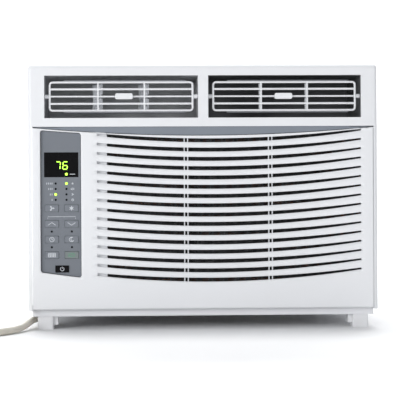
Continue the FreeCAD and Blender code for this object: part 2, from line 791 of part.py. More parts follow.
def blower_scroll():
    """Blower housing: a round chamber with a round inlet in front and an outlet up to the duct."""
    front = "-136"
    outer = fuse(
        rod(("axle_x", front, "axle_z"), "y", "scroll_round + 2", "74"),
        block(("axle_x - 47", front, "axle_z"), ("axle_x + 105", "-62", "vent_low - 2")),
    )
    inner = fuse(
        rod(("axle_x", f"{front} + 2.5", "axle_z"), "y", "scroll_round", "69"),
        block(("axle_x - 45", f"{front} + 2.5", "axle_z"), ("axle_x + 103", "-64.5", "vent_low - 1")),
    )
    inlet = rod(("axle_x", f"{front} - 1", "axle_z"), "y", "wheel_round - 12", "5")
    shaft_hole = rod(("axle_x", "-66", "axle_z"), "y", "axle_round + 6", "6")
    node("blower_scroll", cut(outer, inner, inlet, shaft_hole))


def blower_wheel():
    """Blower wheel: a back plate with a hub, two rings and 36 blades."""
    body = new_body("Wheel")
    back = "70"
    plate_sketch = sketch(body, "XZ_Plane", back)
    circle(plate_sketch, ("axle_x", "axle_z"), "wheel_round")
    circle(plate_sketch, ("axle_x", "axle_z"), "axle_round")
    pad(body, plate_sketch, "2")
    hub = sketch(body, "XZ_Plane", f"{back} + 1")
    circle(hub, ("axle_x", "axle_z"), "axle_round + 8")
    circle(hub, ("axle_x", "axle_z"), "axle_round")
    pad(body, hub, "22")
    rim = sketch(body, "XZ_Plane", f"{back} + wheel_deep - 3")
    circle(rim, ("axle_x", "axle_z"), "wheel_round")
    circle(rim, ("axle_x", "axle_z"), "wheel_round - 9")
    pad(body, rim, "3")
    doc.recompute()
    blades = []
    for number in range(36):
        turn = 10 * number
        blade = block(("0", "-(wheel_deep) + 1", "wheel_round - 12"), ("1.1", "-1", "wheel_round - 0.4"))
        slanted = doc.addObject("Part::Compound", "Slanted")
        slanted.Links = [blade]
        slanted.Placement.Rotation = FreeCAD.Rotation(V(0, 1, 0), turn)
        bind(slanted, "Placement.Base.x", "axle_x")
        bind(slanted, "Placement.Base.y", f"-({back})")
        bind(slanted, "Placement.Base.z", "axle_z")
        blades.append(slanted)
    node("blower_wheel", fuse(body, *blades))


def fan_motor():
    """Double-shafted motor with two stepped end bells, its shaft, and the cradle that carries it."""
    can = fuse(
        rod(("axle_x", "-10", "axle_z"), "y", "motor_round", "62"),
        rod(("axle_x", "-16", "axle_z"), "y", "motor_round * 0.55", "74"),
    )
    bore = rod(("axle_x", "-17", "axle_z"), "y", "axle_round + 0.05", "76")
    node("fan_motor", cut(can, bore))
    node("fan_shaft", rod(("axle_x", "-94", "axle_z"), "y", "axle_round", "214"))
    arms = block(("axle_x - 44", "4", "pan_low + pan_thick"), ("axle_x + 44", "38", "axle_z - 22"))
    hollow = block(("axle_x - 40", "3", "pan_low + pan_thick + 3"), ("axle_x + 40", "39", "axle_z - 59"))
    saddle = rod(("axle_x", "3", "axle_z"), "y", "motor_round", "36")
    strap = cut(rod(("axle_x", "12", "axle_z"), "y", "motor_round + 1.2", "18"),
                rod(("axle_x", "11", "axle_z"), "y", "motor_round", "20"))
    node("motor_bracket", fuse(cut(arms, hollow, saddle), strap))


def condenser_fan():
    """Axial fan: a hub, five twisted blades and the slinger ring that lifts condensate."""
    hub_radius = 26.0
    tip = value("fan_round")
    axle = V(value("axle_x"), 100, value("axle_z"))
    hub = Part.makeCylinder(hub_radius, 26, V(0, -12, 0), V(0, 1, 0))
    hub = hub.cut(Part.makeCylinder(value("axle_round"), 40, V(0, -20, 0), V(0, 1, 0)))
    blades = []
    for number in range(5):
        sections = []
        for radius, pitch, chord in ((hub_radius - 2, 48, 44), (60, 34, 68), (tip - 1.5, 24, 86)):
            half = chord / 2
            rise = half * math.sin(math.radians(pitch))
            reach = half * math.cos(math.radians(pitch))
            thick = 1.1
            corners = [
                V(-reach, -rise - thick, radius),
                V(reach, rise - thick, radius),
                V(reach, rise + thick, radius),
                V(-reach, -rise + thick, radius),
            ]
            sections.append(Part.makePolygon(corners + corners[:1]))
        blade = Part.makeLoft(sections, True, True)
        blade.rotate(V(0, 0, 0), V(0, 1, 0), 72 * number)
        blades.append(blade)
    reach = Part.makeCylinder(tip + 0.5, 60, V(0, -30, 0), V(0, 1, 0))
    blades = [blade.common(reach) for blade in blades]
    slinger = Part.makeCylinder(tip + 2, 5, V(0, 8, 0), V(0, 1, 0))
    slinger = slinger.cut(Part.makeCylinder(tip - 1, 7, V(0, 7, 0), V(0, 1, 0)))
    made = solid(hub.fuse(blades).fuse(slinger))
    made.Placement.Base = axle
    node("condenser_fan", made)


def condenser_shroud():
    """Plate in front of the condenser with a collar around the fan."""
    flat = block(("-204", "122", "pan_low + pan_thick"), ("226", "124", "cabinet_top - 8"))
    collar = rod(("axle_x", "104", "axle_z"), "y", "fan_round + 8", "20")
    opening = rod(("axle_x", "103", "axle_z"), "y", "fan_round + 6", "22")
    node("condenser_shroud", cut(fuse(flat, collar), opening))


# ---- cold circuit --------------------------------------------------------------------------------

def finned_coil(low, high, rows, bends, pitch, start_z):
    """A block of fins with return bends at both ends."""
    pieces = [block(low, high)]
    for row_y in rows:
        for number in range(bends):
            for side in (low[0], high[0]):
                pieces.append(ring((side, row_y, f"{start_z} + {number * pitch}"), "y", "9.5", "3.5"))
    return fuse(*pieces)


def coils():
    """Evaporator behind the filter and condenser at the back."""
    evap_back = "-146"
    low = ("-134", f"{evap_back} - evap_thick", "pan_high")
    high = ("214", evap_back, "seam_high - 2")
    rows = [f"{evap_back} - 7", f"{evap_back} - 19"]
    node("evaporator_coil", finned_coil(low, high, rows, 5, 44, "pan_high + 26"))
    low = ("-cond_half", "136", "pan_low + pan_thick + 4")
    high = ("cond_half", "136 + cond_thick", "cabinet_top - 9")
    rows = ["136 + 12", "136 + 32"]
    node("condenser_coil", finned_coil(low, high, rows, 7, 44, "pan_low + 32"))


def compressor():
    """Rotary compressor on a three-legged plate with grommets, and its accumulator."""
    x = "-shell_x"
    y = "shell_y"
    shell = rounded(rod((x, y, "38"), "z", "shell_round", "192"), "22", lambda spot, edge: edge.Length > 100)
    cap = rod((x, y, "228"), "z", "16", "8")
    legs = [rod((x, y, "34"), "z", "shell_round - 6", "8")]
    grommets = []
    for number in range(3):
        angle = math.radians(120 * number + 90)
        leg_x = f"{x} + {62 * math.cos(angle):.3f}"
        leg_y = f"{y} + {62 * math.sin(angle):.3f}"
        ear = rod((leg_x, leg_y, "34"), "z", "11", "4")
        legs.append(ear)
        arm_x = f"{x} + {46 * math.cos(angle):.3f}"
        arm_y = f"{y} + {46 * math.sin(angle):.3f}"
        legs.append(rod((arm_x, arm_y, "34"), "z", "13", "4"))
        grommets.append(rod((leg_x, leg_y, "pan_low + pan_thick"), "z", "9", "34 - pan_low - pan_thick"))
    node("compressor", fuse(shell, cap, *legs))
    node("compressor_grommets", group(*grommets))
    can = rounded(rod(("-86", y, "96"), "z", "22", "124"), "12", lambda spot, edge: edge.Length > 100)
    bracket = block(("-116", f"{y} - 6", "150"), ("-104", f"{y} + 6", "162"))
    node("accumulator", cut(fuse(can, bracket), rod((x, y, "140"), "z", "shell_round", "40")))


def pipes():
    """Copper pipes between compressor, condenser and evaporator."""
    discharge = [
        (-160, 45, 236),
        (-160, 45, 278),
        (-218, 70, 288),
        (-227, 158, 292),
        (-212, 158, 292),
    ]
    node("discharge_pipe", solid(tube(discharge, 4, largest=14)[0]))
    suction = [
        (-86, 45, 220),
        (-86, 45, 262),
        (-110, -50, 262),
        (-152, -112, 240),
        (-152, -159, 230),
        (-134, -159, 230),
    ]
    node("suction_pipe", solid(tube(suction, 5, largest=14)[0]))
    capillary = [
        (-212, 158, 72),
        (-222, 158, 72),
        (-222, 100, 76),
        (-216, 20, 90),
        (-206, -50, 90),
        (-152, -100, 98),
        (-152, -159, 98),
        (-134, -159, 98),
    ]
    node("capillary_tube", solid(tube(capillary, 1.6, largest=14)[0]))


def bulkhead():
    """Sheet wall between the room side and the outdoor side, with holes for shaft and pipes."""
    side = "pan_half - pan_thick - 0.3"
    wall = block((f"-({side})", "-26", "pan_low + pan_thick"), (side, "-24.8", "cabinet_top - 4"))
    holes = [
        rod(("axle_x", "-27", "axle_z"), "y", "axle_round + 9", "4"),
        rod(("-104", "-27", "262"), "y", "14", "4"),
        rod(("-209", "-27", "90"), "y", "8", "4"),
    ]
    node("bulkhead", cut(wall, *holes))


# ---- chassis -------------------------------------------------------------------------------------

def base_pan():
    """Pressed base pan: a rim all round, a ledge under the cabinet, a drain hole and the lead's hole."""
    back = "body_deep / 2 - 2"
    outer = rounded(
        block(("-pan_half", "-pan_front", "pan_low"), ("pan_half", back, "pan_high")),
        "8",
        lambda spot, edge: abs(edge.tangentAt(0).z) > 0.9 and spot.y < 0,
    )
    inner = block(
        ("pan_thick - pan_half", "pan_thick - pan_front", "pan_low + pan_thick"),
        ("pan_half - pan_thick", f"{back} - pan_thick", "pan_high + 1"),
    )
    ledge = rounded(
        block(("-pan_skirt", "-pan_front", "pan_low"), ("pan_skirt", back, "cabinet_low - 0.2")),
        "5",
        lambda spot, edge: abs(edge.tangentAt(0).z) > 0.9 and spot.y < 0,
    )
    drain = rod(("120", "170", "pan_low - 1"), "z", "8", "4")
    lead_hole = rod(("-219", "-92", "pan_low - 1"), "z", "4.5", "4")
    front_dip = block(("-230", "-pan_front - 1", "panel_low + 4"), ("230", "-pan_front + 3", "pan_high + 1"))
    node("base_pan", cut(fuse(outer, ledge), inner, drain, lead_hole, front_dip))
    bung = fuse(
        rod(("120", "170", "pan_low - 2"), "z", "11", "2"),
        rod(("120", "170", "pan_low - 1"), "z", "8", "6"),
    )
    node("drain_plug", bung)


def cabinet():
    """Sheet steel wrap: top and two sides with louvre slots, rear flange and screw holes."""
    back = "body_deep / 2"
    outer = rounded(
        block(("-cabinet_half", "-cabinet_front", "cabinet_low"), ("cabinet_half", back, "cabinet_top")),
        "5",
        lambda spot, edge: abs(edge.tangentAt(0).y) > 0.9 and spot.z > 100,
    )
    inner = block(
        ("sheet_thick - cabinet_half", "-cabinet_front - 1", "cabinet_low - 1"),
        ("cabinet_half - sheet_thick", f"{back} - sheet_thick", "cabinet_top - sheet_thick"),
    )
    rear = block(("16 - cabinet_half", f"{back} - 3", "cabinet_low - 1"),
                 ("cabinet_half - 16", f"{back} + 1", "cabinet_top - 16"))
    tools = [inner, rear]
    for number in range(9):
        high = 96 + number * 22
        for side in ("-cabinet_half - 1", "cabinet_half - 3"):
            tools.append(block((side, "60", f"{high}"), (f"{side} + 4", "150", f"{high} + 5")))
    for number in range(11):
        x = -200 + number * 37
        tools.append(block((f"{x}", "70", "cabinet_top - 3"), (f"{x} + 26", "76", "cabinet_top + 1")))
        tools.append(block((f"{x}", "88", "cabinet_top - 3"), (f"{x} + 26", "94", "cabinet_top + 1")))
    for sign in (-1, 1):
        tools.append(rod((f"{sign} * rail_holes / 2", "-side_hole_y", "cabinet_top - 3"), "z", "hole_round", "4"))
    for side in ("-cabinet_half - 1", "cabinet_half - 3"):
        for high in ("195 - side_holes / 2", "195 + side_holes / 2"):
            tools.append(rod((side, "-side_hole_y", high), "x", "hole_round", "4"))
    node("cabinet", cut(outer, *tools))


def cabinet_screws():
    """Hexagon-headed screws that hold the cabinet to the base pan and the front panel to the cabinet."""
    screws = []
    for side, start in ((-1, "-cabinet_half - 3"), (1, "cabinet_half")):
        for y in ("-90", "30", "180"):
            screws.append(rod((start, y, "40"), "x", "4", "3"))
    node("cabinet_screws", group(*screws))


def feet():
    """Four feet under the base pan, each with a step on its inner side."""
    pads = []
    for side in (-1, 1):
        for y in ("-168", "150"):
            x = f"{side} * foot_x"
            main = rounded(
                block((f"{x} - foot_wide / 2", f"{y} - foot_deep / 2", "0"),
                      (f"{x} + foot_wide / 2", f"{y} + foot_deep / 2", "pan_low")),
                "2.5",
                lambda spot, edge: abs(edge.tangentAt(0).z) > 0.9,
            )
            step_x = f"{x} - {side} * 13"
            step = block((f"{step_x} - 4", f"{y} - 12", "6"), (f"{step_x} + 4", f"{y} + 12", "pan_low"))
            pads.append(fuse(main, step))
    node("feet", group(*pads))


# ---- mains lead ----------------------------------------------------------------------------------

def cord_gland():
    """Strain relief: a block under the pan, over the lead's hole, and a tapered nose that points to the front."""
    tip = V(*CORD_ROUTE[0])
    heading = (V(*CORD_ROUTE[1]) - tip).normalize()
    root = tip - heading * 24
    nose = Part.makeCone(6, value("cord_round") + 0.6, 24, root, heading)
    low = V(root.x - 7, root.y - 1.5, 4.5)
    anchor = Part.makeBox(14, 16, value("pan_low") - low.z, low)
    node("cord_gland", solid(anchor.fuse(nose).removeSplitter()))


def power_cord():
    """The free stretch of the mains lead, from its strain relief to its coil."""
    radius = value("cord_round")
    shape, length, radii = tube(CORD_ROUTE, radius)
    print("cord length", round(length, 1), "arc radii", [round(item, 1) for item in radii])
    node("power_cord", solid(shape))


def cord_coil():
    """The rest of the lead as one ring of its outer shape, with the end that runs to the plug."""
    body = new_body("Coil")
    drawing = sketch(body, "XZ_Plane", "0")
    apart = "cord_round * 2"
    low = f"{FLOOR_LIFT}"
    outline(
        drawing,
        [
            (f"coil_mean - {apart} - cord_round", low),
            (f"coil_mean + {apart} + cord_round", low),
            (f"coil_mean + {apart} + cord_round", f"{low} + cord_round * 1.8"),
            (f"coil_mean + {apart} / 2 + cord_round", f"{low} + cord_round * 3.75"),
            (f"coil_mean - {apart} / 2 - cord_round", f"{low} + cord_round * 3.75"),
            (f"coil_mean - {apart} - cord_round", f"{low} + cord_round * 1.8"),
        ],
    )
    turned = body.newObject("PartDesign::Revolution", "Turned")
    turned.Profile = drawing
    turned.ReferenceAxis = (origin_item(body, "Z_Axis"), [""])
    turned.Angle = 360
    end = rod(("-coil_mean - cord_round", "0", f"{low} + cord_round * 2.75"), "y", "cord_round", "48")
    whole = doc.addObject("Part::Compound", "Placed")
    whole.Links = [fuse(body, end)]
    bind(whole, "Placement.Base.x", "-coil_x")
    bind(whole, "Placement.Base.y", "-coil_y")
    node("cord_coil", whole)


def cord_tie():
    """Strap around the coil's turns."""
    apart = "cord_round * 3"
    near = "-coil_y + coil_mean"
    outer = block(("-coil_x - 6", f"{near} - {apart} - 1.4", "0.05"),
                  ("-coil_x + 6", f"{near} + {apart} + 1.4", "cord_round * 3.75 + 1.6"))
    inner = block(("-coil_x - 7", f"{near} - {apart}", "1.2"),
                  ("-coil_x + 7", f"{near} + {apart}", "cord_round * 3.75 + 0.4"))
    node("cord_tie", cut(outer, inner))


def plug():
    """Plug with a tapered sleeve, two flat blades and an earth pin, and its test and reset buttons."""
    x = "-coil_x - coil_mean - cord_round"
    sleeve = 26
    start = "-coil_y + 48"
    mid_z = f"{FLOOR_LIFT} + cord_round * 2.75"
    taper = cone((x, start, mid_z), "y", "cord_round + 1", "9", f"{sleeve}")
    low = (f"{x} - plug_wide / 2", f"{start} + {sleeve}", "0.1")
    high = (f"{x} + plug_wide / 2", f"{start} + {sleeve} + plug_long", "plug_tall")
    case = rounded(block(low, high), "5", lambda spot, edge: edge.Length > 10)
    holes = [
        block((f"{x} - 6", f"{start} + {sleeve} + {y}", "plug_tall - 4"),
              (f"{x} + 6", f"{start} + {sleeve} + {y} + 9", "plug_tall + 1"))
        for y in (14, 34)
    ]
    node("plug_body", cut(fuse(taper, case), *holes))
    for name, y in (("plug_test_button", 14), ("plug_reset_button", 34)):
        key = block((f"{x} - 5.7", f"{start} + {sleeve} + {y} + 0.3", "plug_tall - 2.8"),
                    (f"{x} + 5.7", f"{start} + {sleeve} + {y} + 8.7", "plug_tall + 1.2"))
        node(name, key)
    tip = f"{start} + {sleeve} + plug_long"
    blades = [
        block((f"{x} + {side} * 6.35 - 0.75", tip, "9.8"), (f"{x} + {side} * 6.35 + 0.75", f"{tip} + 17.5", "16.2"))
        for side in (-1, 1)
    ]
    earth = rod((x, tip, "21.5"), "y", "2.4", "20")
    node("plug_blades", group(*blades, earth))


def build():
    front_panel()
    accent_trim()
    intake_grille()
    air_filter()
    control_overlay()
    display_and_lamps()
    buttons()
    control_box()
    for side in VENTS:
        louver_frame(side)
        vane(side, -1, f"vane_{side}_outer" if side == "left" else f"vane_{side}_inner")
        vane(side, 1, f"vane_{side}_inner" if side == "left" else f"vane_{side}_outer")
        vane_link(side)
        louver_tab(side)
    discharge_duct()
    blower_scroll()
    blower_wheel()
    fan_motor()
    condenser_fan()
    condenser_shroud()
    coils()
    compressor()
    pipes()
    bulkhead()
    base_pan()
    cabinet()
    cabinet_screws()
    feet()
    cord_gland()
    power_cord()
    cord_coil()
    cord_tie()
    plug()
    doc.recompute()


def check_and_write():
    """Stops on a failed object or shape, then writes a STEP file for each sub-part."""
    failed = [obj for obj in doc.Objects if "Invalid" in obj.State or "Error" in obj.State]
    if failed:
        raise ValueError("failed: " + ", ".join(f"{obj.Name} {obj.Label}" for obj in failed))
    os.makedirs("parts", exist_ok=True)
    for name, obj in NODES.items():
        shape = obj.Shape
        if shape.isNull() or not shape.isValid() or not shape.Solids:
            raise ValueError(f"{name} has no valid solid")
    for name, obj in NODES.items():
        obj.Shape.exportStep(f"parts/{name}.step")
    print(len(NODES), "sub-parts")


build()
check_and_write()
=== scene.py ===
"""Window air conditioner: its door, louvres, controls, coils and lead, and the finish of every part.

Metres, +Z up, the front faces -Y. Run as a script, this file builds the whole object and its stage.
"""

import math

import bmesh
import bpy
import numpy as np
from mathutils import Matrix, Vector


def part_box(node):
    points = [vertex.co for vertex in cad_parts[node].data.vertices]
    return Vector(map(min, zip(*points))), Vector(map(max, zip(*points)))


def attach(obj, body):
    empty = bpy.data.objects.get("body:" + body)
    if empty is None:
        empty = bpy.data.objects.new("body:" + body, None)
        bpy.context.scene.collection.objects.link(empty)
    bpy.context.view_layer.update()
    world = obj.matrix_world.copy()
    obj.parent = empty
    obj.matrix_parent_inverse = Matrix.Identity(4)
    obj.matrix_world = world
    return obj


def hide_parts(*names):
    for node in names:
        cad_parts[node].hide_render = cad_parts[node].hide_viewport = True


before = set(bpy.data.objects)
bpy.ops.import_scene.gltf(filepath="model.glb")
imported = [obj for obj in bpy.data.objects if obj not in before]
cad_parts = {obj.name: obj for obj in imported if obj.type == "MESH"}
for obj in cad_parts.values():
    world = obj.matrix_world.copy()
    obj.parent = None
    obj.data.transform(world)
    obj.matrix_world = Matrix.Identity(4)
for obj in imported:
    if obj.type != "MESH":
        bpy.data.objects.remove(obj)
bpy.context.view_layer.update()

bl_info = {
    "name": "Window Air Conditioner",
    "version": (1, 0, 0),
    "blender": (4, 5, 0),
    "location": "View3D > Sidebar > Air Conditioner",
    "description": "Builds a window air conditioner's visible pieces and finishes around its frame",
    "category": "Add Mesh",
}

MM = 0.001
# Faces that meet at more than this angle keep a hard edge.
SHARP = math.radians(38)
# The louvres' pivot axis: behind the front, above the floor.
AXIS_Y = -0.191
AXIS_Z = 0.3215
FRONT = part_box("front_panel")[0].y


# ---- sizes and colours that a user would change ------------------------------------------------

def metres(name, description, default):
    """A setting that is a length."""
    return bpy.props.FloatProperty(name=name, description=description, default=default, unit="LENGTH")


def shade(name, description, default):
    """A setting that is a colour."""
    return bpy.props.FloatVectorProperty(name=name, description=description, default=default, subtype="COLOR")


class DoorSizes(bpy.types.PropertyGroup):
    """Sizes of the tilting intake grille."""

    slots: bpy.props.IntProperty(name="Slots", description="Rows of slots", default=16)
    pitch: metres("Pitch", "From one slot to the next", 12.82 * MM)
    slot_height: metres("Slot height", "Height of a slot at its lowest point", 5.5 * MM)
    first_slot: metres("First slot", "Height of the top slot's middle", 260.3 * MM)
    lower_arc: metres("Lower arc", "Radius of a slot's lower edge", 1.36)
    upper_arc: metres("Upper arc", "Radius of a slot's upper edge", 1.68)
    lowest: metres("Lowest point", "Where the slots hang lowest", 12 * MM)
    slot_left: metres("Left end", "Where the slots start", -133 * MM)
    slot_right: metres("Right end", "Where the slots end", 218.7 * MM)
    groove: metres("Groove", "Length of the blind groove beside each slot", 13.7 * MM)
    slat_depth: metres("Slat depth", "Slats, front to back", 8 * MM)
    crown: metres("Crown", "How far a slat's edges fall back", 1.3 * MM)
    wall: metres("Wall", "Thickness of the moulding", 1.3 * MM)


class LouvreSizes(bpy.types.PropertyGroup):
    """Sizes of the two louvres."""

    middle: metres("Middle", "A louvre's middle from the unit's middle", 112.75 * MM)
    wide: metres("Width", "Louvre frame, side to side", 200 * MM)
    bar: metres("Bar", "Radius of a louvre bar", 1.5 * MM)
    vanes_apart: metres("Vane", "A vane's axis from the louvre's middle", 32 * MM)


class LeadSizes(bpy.types.PropertyGroup):
    """Sizes of the mains lead."""

    diameter: metres("Diameter", "Outside of the sheath", 9.5 * MM)
    length: metres("Length", "From the strain relief to the plug", 1.74)
    turn_points: bpy.props.IntProperty(
        name="Points a turn", description="Control points in each turn of the coil", default=16
    )


class CoilSizes(bpy.types.PropertyGroup):
    """Sizes of the finned coils and of the filter net."""

    fin_pitch: metres("Fin pitch", "From one fin to the next", 1.9 * MM)
    fin_thickness: metres("Fin thickness", "Aluminium of a fin", 0.3 * MM)
    tube_radius: metres("Tube radius", "Copper tube through the fins", 3.5 * MM)
    net_pitch: metres("Net pitch", "From one strand of the filter to the next", 1.7 * MM)
    strand: metres("Strand", "Width of a strand of the filter", 0.75 * MM)


class FinishColours(bpy.types.PropertyGroup):
    """Colours of the main finishes."""

    shell: shade("Shell", "White moulded covers", (0.79, 0.80, 0.82))
    accent: shade("Accent", "Grey strip above the door", (0.2, 0.225, 0.262))
    deck: shade("Control panel", "Printed control panel", (0.16, 0.176, 0.202))
    cabinet: shade("Cabinet", "Powder coat on the steel", (0.79, 0.795, 0.82))
    lead: shade("Lead", "Sheath of the mains lead", (0.66, 0.62, 0.54))
    glow: shade("Digits", "Light of the digits and lamps", (0.42, 0.95, 0.06))


class StageSizes(bpy.types.PropertyGroup):
    """Where the camera stands and how wide the room is."""

    distance: metres("Distance", "Camera to the front", 2.2)
    eye: metres("Eye", "Camera above the floor", 0.185)
    turn: bpy.props.FloatProperty(
        name="Turn", description="How far the camera stands to the left",
        default=math.radians(2.4), subtype="ANGLE",
    )
    roll: bpy.props.FloatProperty(
        name="Roll", description="Tilt of the picture", default=math.radians(-0.3), subtype="ANGLE"
    )
    lens: bpy.props.FloatProperty(name="Lens", description="Focal length in millimetres", default=143.65)
    aim_x: metres("Aim across", "Aimed-at point", -0.0051)
    aim_z: metres("Aim height", "Aimed-at point", 0.178)


# ---- surfaces ------------------------------------------------------------------------------------

def grid_quads(rows, columns, wrap_rows=False, wrap_columns=False):
    """Quads over a grid of vertex numbers; their normals are the column step crossed with the row step."""
    index = np.arange(rows * columns).reshape(rows, columns)
    if wrap_rows:
        index = np.vstack([index, index[:1]])
    if wrap_columns:
        index = np.hstack([index, index[:, :1]])
    quads = np.stack([index[:-1, :-1], index[:-1, 1:], index[1:, 1:], index[1:, :-1]], axis=-1)
    return quads.reshape(-1, 4)


def unit(vectors):
    return vectors / np.linalg.norm(vectors, axis=-1, keepdims=True)


def tube(path, radius, sides, closed=False, up=(0, 0, 1), squash=1):
    """Circles carried along a path, each square to the path's direction there.

    A point is the path plus radius times (cosine of the angle times the side vector, less sine times
    the other). Open ends get a lid. squash scales the circles along up.
    """
    path = np.asarray(path, float)
    ahead = np.roll(path, -1, 0) - np.roll(path, 1, 0) if closed else np.gradient(path, axis=0)
    ahead = unit(ahead)
    side = unit(np.cross(ahead, np.asarray(up, float)))
    other = np.cross(side, ahead)
    radius = np.broadcast_to(np.asarray(radius, float), len(path))
    angle = np.linspace(0, 2 * math.pi, sides, endpoint=False)
    angle = angle[None, :, None]
    circle = np.cos(angle) * side[:, None] - squash * np.sin(angle) * other[:, None]
    points = (path[:, None] + radius[:, None, None] * circle).reshape(-1, 3)
    faces = grid_quads(len(path), sides, wrap_rows=closed, wrap_columns=True).tolist()
    if not closed:
        last = (len(path) - 1) * sides
        faces.append(list(range(sides))[::-1])
        faces.append(list(range(last, last + sides)))
    return points, faces


def rod(start, end, radius, sides, up=(0, 0, 1)):
    """A straight tube between two places."""
    return tube(np.linspace(start, end, 3), radius, sides, up=up)


def slabs(lows, highs):
    """Boxes between pairs of corners, all at once: each corner takes low or high in x, y and z."""
    lows = np.atleast_2d(np.asarray(lows, float))
    highs = np.atleast_2d(np.asarray(highs, float))
    pick = np.array([[0, 0, 0], [1, 0, 0], [1, 1, 0], [0, 1, 0], [0, 0, 1], [1, 0, 1], [1, 1, 1], [0, 1, 1]])
    points = lows[:, None] + pick[None] * (highs - lows)[:, None]
    sides = np.array([[0, 3, 2, 1], [4, 5, 6, 7], [0, 1, 5, 4], [1, 2, 6, 5], [2, 3, 7, 6], [3, 0, 4, 7]])
    faces = sides[None] + 8 * np.arange(len(lows))[:, None, None]
    return points.reshape(-1, 3), faces.reshape(-1, 4).tolist()


def merged(*parts):
    """Several (points, faces) pairs as one."""
    points, faces, start = [], [], 0
    for some_points, some_faces in parts:
        points.append(some_points)
        faces.extend([[corner + start for corner in face] for face in some_faces])
        start += len(some_points)
    return np.vstack(points), faces


def placed(name, data):
    """A new object in the scene."""
    made = bpy.data.objects.new(name, data)
    bpy.context.scene.collection.objects.link(made)
    return made


def piece(name, shape, material, body, replaces=(), outward=True):
    """Makes the object, shades it smooth up to a sharp edge, and says what it rides on and stands for."""
    points, faces = shape
    mesh = bpy.data.meshes.new(name)
    mesh.from_pydata(points.tolist(), [], faces)
    if outward:
        work = bmesh.new()
        work.from_mesh(mesh)
        bmesh.ops.recalc_face_normals(work, faces=work.faces)
        work.to_mesh(mesh)
        work.free()
    mesh.shade_smooth()
    mesh.set_sharp_from_angle(angle=SHARP)
    made = placed(name, mesh)
    made.data.materials.append(material)
    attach(made, body)
    if replaces:
        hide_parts(*replaces)
    return made


# ---- finishes ------------------------------------------------------------------------------------

# Where nearly all of a noise pattern's values lie.
MIDDLE_BAND = (0.3, 0.7)


class Finish:
    """A material under construction: its shader, and the patterns that feed it."""

    def __init__(self, name, **settings):
        """Settings go to the shader's own sockets; underscores stand for spaces."""
        self.material = bpy.data.materials.new(name)
        self.material.use_nodes = True
        self.nodes = self.material.node_tree.nodes
        self.links = self.material.node_tree.links
        self.shader = next(node for node in self.nodes if node.type == "BSDF_PRINCIPLED")
        self.place = self.nodes.new("ShaderNodeTexCoord").outputs["Object"]
        for socket, value in settings.items():
            self.shader.inputs[socket.replace("_", " ")].default_value = value

    def stretched(self, scale):
        mapping = self.nodes.new("ShaderNodeMapping")
        mapping.inputs["Scale"].default_value = scale
        self.links.new(self.place, mapping.inputs["Vector"])
        return mapping.outputs["Vector"]

    def noise(self, scale, detail=3.0, stretch=None):
        texture = self.nodes.new("ShaderNodeTexNoise")
        texture.inputs["Scale"].default_value = scale
        texture.inputs["Detail"].default_value = detail
        self.links.new(self.stretched(stretch) if stretch else self.place, texture.inputs["Vector"])
        return texture.outputs["Fac"]

    def cells(self, scale):
        texture = self.nodes.new("ShaderNodeTexVoronoi")
        texture.inputs["Scale"].default_value = scale
        self.links.new(self.place, texture.inputs["Vector"])
        return texture.outputs["Distance"]

    def waves(self, scale, direction, distortion):
        texture = self.nodes.new("ShaderNodeTexWave")
        texture.bands_direction = direction
        texture.inputs["Scale"].default_value = scale
        texture.inputs["Distortion"].default_value = distortion
        self.links.new(self.place, texture.inputs["Vector"])
        return texture.outputs["Fac"]

    def tinted(self, pattern, colour, spread):
        """Base colour that drifts either side of the colour as the pattern goes from low to high."""
        ramp = self.nodes.new("ShaderNodeValToRGB")
        for stop, place, share in zip(ramp.color_ramp.elements, MIDDLE_BAND, (1 - spread, 1 + spread)):
            stop.position = place
            stop.color = (*[min(channel * share, 1) for channel in colour], 1)
        self.links.new(pattern, ramp.inputs["Fac"])
        self.links.new(ramp.outputs["Color"], self.shader.inputs["Base Color"])

    def roughened(self, pattern, low, high):
        spread = self.nodes.new("ShaderNodeMapRange")
        for socket, value in zip(("From Min", "From Max", "To Min", "To Max"), (*MIDDLE_BAND, low, high)):
            spread.inputs[socket].default_value = value
        self.links.new(pattern, spread.inputs["Value"])
        self.links.new(spread.outputs["Result"], self.shader.inputs["Roughness"])

    def raised(self, pattern, distance, strength):
        """Bumps the surface, as a finish's last step, and returns the material."""
        bump = self.nodes.new("ShaderNodeBump")
        bump.inputs["Strength"].default_value = strength
        bump.inputs["Distance"].default_value = distance
        self.links.new(pattern, bump.inputs["Height"])
        self.links.new(bump.outputs["Normal"], self.shader.inputs["Normal"])
        return self.material


def moulded(name, colour, rough, grain=1400.0, drift=0.02):
    """Injection-moulded plastic with a fine spark-eroded grain and a slow drift in colour and gloss."""
    finish = Finish(name, IOR=1.5)
    finish.tinted(finish.noise(9.0), colour, drift)
    finish.roughened(finish.noise(45.0), rough - 0.04, rough + 0.05)
    return finish.raised(finish.noise(grain, 2.0), 0.00006, 0.35)


def polished(name, colour, rough):
    """Gloss plastic with faint flow marks."""
    finish = Finish(name, IOR=1.52, Coat_Weight=0.4, Coat_Roughness=0.06)
    finish.tinted(finish.noise(30.0), colour, 0.04)
    finish.roughened(finish.noise(120.0, 5.0), rough * 0.7, rough * 1.5)
    return finish.raised(finish.noise(90.0), 0.00002, 0.2)


def smoked(name, colour):
    """Smoked lens over a dark hollow: it gives back little of the room."""
    finish = Finish(name, IOR=1.42, Specular_IOR_Level=0.08)
    finish.tinted(finish.noise(30.0), colour, 0.1)
    finish.roughened(finish.noise(120.0, 5.0), 0.2, 0.32)
    return finish.raised(finish.noise(90.0), 0.00002, 0.15)


def powder_coat(name, colour):
    """Baked paint on sheet steel, with the fine orange peel that it dries to."""
    finish = Finish(name, IOR=1.5, Coat_Weight=0.25, Coat_Roughness=0.2)
    finish.tinted(finish.noise(6.0), colour, 0.025)
    finish.roughened(finish.noise(60.0), 0.32, 0.46)
    return finish.raised(finish.cells(420.0), 0.00012, 0.3)


